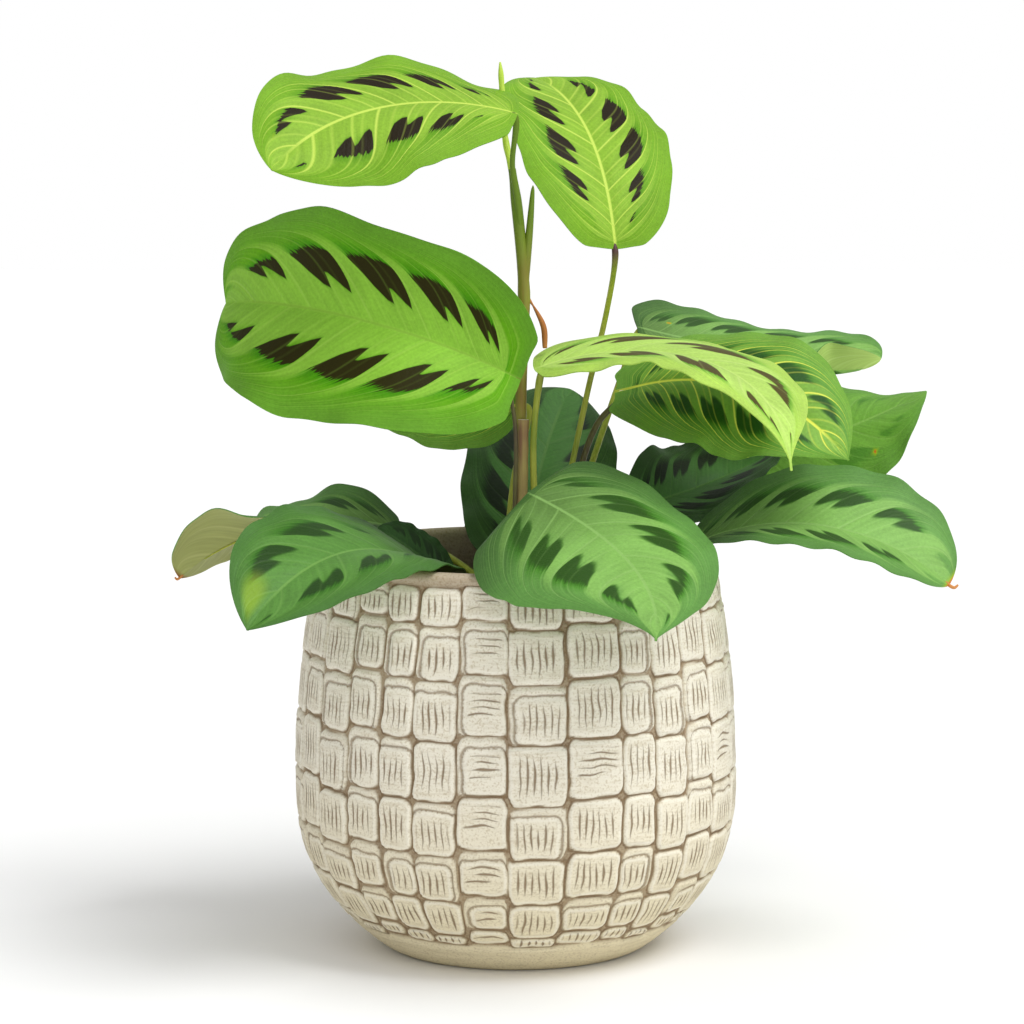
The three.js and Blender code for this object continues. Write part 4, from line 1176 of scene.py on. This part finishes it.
LEAVES = [
    dict(
        name="leaf_top_left", slot="leaf_light", top=light_blade, under=young_underside,
        stalk_material=shoot_green, stalk_radius=1.1, on_shoot=True,
        stalk=[(2, -0.5, 306), (0.7, -2.6, 319), (-1.5, -4.8, 335)], straight=3, base=(-3, -7, 357),
        length=117, half_width=(40, 36), heading=(178, 233), pitch=(14, -38), roll=(-16, -37),
        fold=(1, 14), curl=(31, 17), widest=1.04, full=2.37, round=(2.9, 1.3),
        ripple=3.4, phase=40, calm=(0.25, 1), cells=((0.105, 0.03, 0.0), (0.115, 0.0145, 0.015)),
        dry_spots=[(0.88, -0.45, 0.7, 1)],
    ),
    dict(
        name="leaf_top_right", slot="leaf_light", top=light_blade, under=young_underside,
        stalk_radius=1.2, blush=1.0, stalk=[(14, 8), (31, 25, 236), (38.5, 22, 268)], base=(42, 6, 303),
        length=113, half_width=(36, 33), heading=(103, 121), pitch=(66, 12), roll=(4, -2), lobe=0.06,
        fold=(11, 15), curl=(19, 16), widest=0.96, full=2.3, round=(2.1, 1.8),
        ripple=1.7, phase=-45, cells=((0.12, 0.022, -0.03), (0.115, 0.018, -0.03)),
    ),
    dict(
        name="leaf_big_left", slot="leaf_vivid", top=vivid_blade, under=young_underside,
        stalk_material=petiole_dark, stalk_radius=0.9, stalk=[(-1.5, -8), (-0.5, -8, 190), (-0.6, -9, 228)],
        straight=1.5, base=(-6.5, -12.7, 248.8),
        length=150, half_width=(49, 43), heading=(190, 116), pitch=(26, -7), roll=(-57, -60), lobe=0.1,
        fold=(9, 31), curl=(20, -12), widest=0.96, full=2.36, round=(2.4, 1.7),
        ripple=-3.4, phase=15, cells=((0.125, 0.018, -0.025), CELLS),
    ),
    dict(
        name="leaf_under_left", slot="leaf_striped", top=striped_blade, under=grown_underside,
        stalk_radius=1.1, stalk=[(-5, 8), (-1, 14, 200)], base=(-1, 18, 231),
        length=79, half_width=(26, 23), heading=(152, 174), pitch=(5, 14), roll=(-74, -29),
        fold=(10, 12), curl=(22, 20), widest=0.95, round=(2.2, 2),
        ripple=1, phase=-10,
    ),
    dict(
        name="leaf_back_upright", slot="leaf_dark", top=old_blade, under=grown_underside,
        stalk_material=petiole_dark, stalk_radius=1.6, stalk=[(3, 12)], base=(3, 20, 163),
        length=109, half_width=(34, 34), heading=(80, 71), pitch=(49, 29), roll=(8, 16),
        fold=(9, 5), curl=(24, 31), widest=0.96, full=2.32,
        ripple=1, phase=0, cells=((0.19, 0.02, -0.02), (0.19, 0.02, 0.0)),
    ),
    dict(
        name="leaf_front", slot="leaf_green", top=grown_blade, under=grown_underside,
        stalk_radius=1.5, stalk=[(8, -14), (8, -46, 189)], straight=1.5, base=(8, -59, 200),
        length=122, half_width=(41, 54), heading=(-33, -97), pitch=(-20, -23), roll=(33, -8),
        fold=(6, 18), curl=(27, 50), widest=0.67, full=2.36, round=(2.8, 0.7), uneven=0.015,
        ripple=1.4, phase=-16, calm=(1, 0.4), cells=((0.14, 0.02, -0.045), (0.16, 0.02, 0.0)),
    ),
    dict(
        name="leaf_low_left", slot="leaf_green", top=low_blade, under=grown_underside,
        stalk_radius=1.5, stalk=[(-14, -9)], base=(-35, -26, 165),
        length=120, half_width=(38, 36), heading=(229, 230), pitch=(31, -44), roll=(-12, -21),
        fold=(13, 14), curl=(9, 6), widest=0.98, full=2.28, round=(2.2, 1.1),
        ripple=0.6, phase=-100, cells=((0.13, 0.025, 0.0), (0.14, 0.025, -0.02)),
        dry_spots=[(0.88, -0.4, 10, 0.3)],
    ),
    dict(
        name="leaf_low_left_back", slot="leaf_dark", top=low_blade, under=grown_underside,
        stalk_radius=1.4, stalk=[(-13, 5)], straight=2, base=(-43, 11, 164),
        length=66, half_width=(20, 16), heading=(190, 176), pitch=(23, -8), roll=(9, -12),
        fold=(15, 3), curl=(15, 12), round=(2.2, 2),
        ripple=1.2, phase=-113,
    ),
    dict(
        name="leaf_far_left", slot="leaf_pale", top=grown_blade, under=pale_underside,
        stalk_radius=1.4, stalk=[(-12, 22)], base=(-54, 50, 174),
        length=102, half_width=(30, 31), heading=(192, 170), pitch=(16, -42), roll=(-18, 48),
        fold=(13, 25), curl=(17, -2), widest=1.2, full=2.2, round=(2.2, 1.5),
        ripple=3.2, phase=-200,
        dry_from=0.97, tip_curl=2.5,
    ),
    dict(
        name="leaf_inner_left", slot="leaf_dark", top=shade_painted_blade, under=grown_underside,
        stalk_radius=1.1, stalk=[(-31, 25)], straight=1.5, base=(-30, 24, 154),
        length=38, half_width=(12, 11), heading=(168, 180), pitch=(44, 30), roll=(-60, -50),
        fold=(6, 8), curl=(12, 14), full=2.3, round=(2.2, 1.6),
        ripple=0.8, phase=0,
    ),
    dict(
        name="leaf_lime_right", slot="leaf_lime", top=lime_blade, under=young_underside,
        stalk_radius=1.3, stalk=[(10, -5), (7.4, -6, 214), (9, -6, 236)], straight=1, base=(12, -8, 250),
        length=153, half_width=(37, 33), heading=(7, -88), pitch=(18, -47), roll=(20, -19), lobe=0.045,
        fold=(10, 13), curl=(24, 22), widest=0.94, full=2.1, round=(1.9, 0.5),
        ripple=0.5, phase=-27, cells=((0.13, 0.025, -0.05), (0.15, 0.03, 0.0)),
    ),
    dict(
        name="leaf_striped_right", slot="leaf_striped", top=striped_blade, under=grown_underside,
        stalk_material=petiole_dark, stalk_radius=1.3, blush=1.0, stalk=[(19, 1), (35, 25, 222)],
        straight=1.5, base=(55, 26.4, 239),
        length=106, half_width=(35, 37), heading=(-22, -36), pitch=(14, -46), roll=(40, 36), lobe=0.19,
        fold=(11, 7), curl=(24, 26), widest=0.92, full=2.15, round=(1.6, 0.9),
        ripple=1.6, phase=-11,
    ),
    dict(
        name="leaf_upper_right", slot="leaf_green", top=grown_blade, under=young_underside,
        stalk_radius=1.3, stalk=[(17, 13), (46, 60, 238)], straight=1.5, base=(57, 66, 261),
        length=109, half_width=(34, 35), heading=(22, -22), pitch=(-15, 1), roll=(32, 31),
        fold=(-1, 2), curl=(18, 28), widest=0.88, full=2.5, round=(2.4, 2.0),
        ripple=5, waves=1.0, phase=60,
        flap_side=1, flap_from=0.56, flap_turn=120, flap_share=0.55, dry_spots=[(0.13, 0.35, 1, 1)],
    ),
    dict(
        name="leaf_pointed_right", slot="leaf_green", top=painted_sunlit_blade, under=grown_underside,
        stalk_radius=1.3, stalk=[(24, 18), (76, 68, 187)], base=(99, 81, 201),
        length=93, half_width=(31, 32), heading=(13, 0), pitch=(9, 29), roll=(86, 3),
        fold=(9, 2), curl=(24, 33), round=(2.2, 1.35),
        ripple=1.5, phase=-116, cells=((0.16, 0.02, 0.0), (0.16, 0.02, 0.02)),
        dry_spots=[(0.64, -0.62, 1.3, 1)],
    ),
    dict(
        name="leaf_low_right", slot="leaf_green", top=grown_blade, under=young_underside,
        stalk_radius=1.5, stalk=[(20, -6), (52, 1, 167)], base=(78, 2, 173.4),
        length=115, half_width=(39, 35), heading=(-15, -10), pitch=(25, -41), roll=(20, 21),
        fold=(15, 14), curl=(-4, 2), widest=1.26, full=2.32, round=(1.8, 1.7),
        ripple=-0.5, phase=-23, cells=((0.115, 0.0145, -0.06), (0.115, 0.0145, -0.06)),
        dry_from=0.975, tip_curl=4,
    ),
    dict(
        name="leaf_dark_right", slot="leaf_dark", top=old_blade, under=grown_underside,
        stalk_radius=1.4, stalk=[(25, 5), (41, 17, 178)], base=(53, 21, 187),
        length=84, half_width=(28, 28), heading=(37, 25), pitch=(7, 24), roll=(50, -16),
        fold=(20, 19), curl=(7, 9), widest=1.03, full=2.33, round=(2.1, 2),
        ripple=1.5, phase=-130,
    ),
    dict(
        name="leaf_back", slot="leaf_green", top=grown_blade, under=grown_underside,
        stalk_radius=1.4, stalk=[(4, 21)], base=(-1, 41, 164),
        length=88, half_width=(19, 24), heading=(93, 98), pitch=(27, -52), roll=(4, -6),
        fold=(12, 12), curl=(18, 22),
        ripple=1.6, phase=60,
    ),
    dict(
        name="leaf_back_right", slot="leaf_green", top=grown_blade, under=grown_underside,
        stalk_radius=1.4, stalk=[(14, 24)], base=(26, 52, 166),
        length=88, half_width=(25, 25), heading=(56, 46), pitch=(28, -56), roll=(6, 0),
        fold=(12, 12), curl=(18, 20),
        ripple=1.4, phase=150,
    ),
]

for own in LEAVES:
    leaf = {**COMMON_LEAF, **own}
    blade, track = grow_blade(leaf)
    stalk = grow_leaf_stalk(leaf, track)
    pieces = [blade, stalk]
    if leaf["tip_curl"]:
        pieces.append(grow_tip(leaf, track))
    grown = join_pieces(pieces)
    grown.name = leaf["name"] + "_grown"
    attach(grown, "root")
    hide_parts(leaf["name"])

# ---- The floor, the light and the camera ----
# A plain white studio: a wide pale floor, soft lights from the right, the front and above, white all round.
FLOOR_HALF = 6.0
bpy.ops.object.select_all(action="DESELECT")
bpy.ops.mesh.primitive_plane_add(size=2 * FLOOR_HALF, location=(0, 0, 0))
floor = bpy.context.object
floor.name = "studio_floor"
floor_paint, tree, shader = new_material("matt_white_floor", 0.9, 0.1)
shader.inputs["Base Color"].default_value = linear("f4f4f4")
floor.data.materials.append(floor_paint)

# The key is a wide soft source to the right and above, with a softer one in front and a very wide one
# overhead. The white room fills in the rest and is seen as pure white. Each light as its name, strength, the
# degrees that it spans, the way it shines and where it hangs.
LIGHTS = [
    ("soft_key", 1.7, 30, (-0.55, 0.3, -1.15), (1.3, -1.0, 1.4)),
    ("soft_top", 0.5, 110, (0, 0.15, -1), (0, 0, 2)),
    ("soft_front", 0.85, 80, (-0.4, 1, -0.45), (0.8, -1.6, 0.8)),
]
for name, strength, span, way, place in LIGHTS:
    bpy.ops.object.light_add(type="SUN", location=place)
    light = bpy.context.object
    light.name = name
    light.data.energy = strength
    light.data.angle = math.radians(span)
    light.rotation_euler = Vector(way).to_track_quat("-Z", "Y").to_euler()
ROOM_LIGHT = 0.46  # strength of the white room as a light

world = bpy.data.worlds.new("white_studio")
world.use_nodes = True
tree = world.node_tree
ray = add_node(tree, "LightPath")
seen = ray.outputs["Is Camera Ray"]
room = add_node(tree, "MapRange", {"Value": seen, "To Min": ROOM_LIGHT, "To Max": 1.0})
tree.nodes["Background"].inputs["Color"].default_value = (1, 1, 1, 1)
tree.links.new(room.outputs[0], tree.nodes["Background"].inputs["Strength"])
bpy.context.scene.world = world
bpy.context.scene.view_settings.view_transform = "Standard"

# The camera stands as the photograph's did: 1.5 m in front, as high as the plant, tipped down a little.
CAMERA_PLACE = (-0.00163, -1.506, 0.363)
CAMERA_TILT = 83.33  # degrees up from looking straight down
CAMERA_LENS = 124.6
CAMERA_SENSOR = 36
bpy.ops.object.camera_add(location=CAMERA_PLACE, rotation=(math.radians(CAMERA_TILT), 0, 0))
camera = bpy.context.object
camera.data.lens = CAMERA_LENS
camera.data.sensor_width = CAMERA_SENSOR
bpy.context.scene.camera = camera
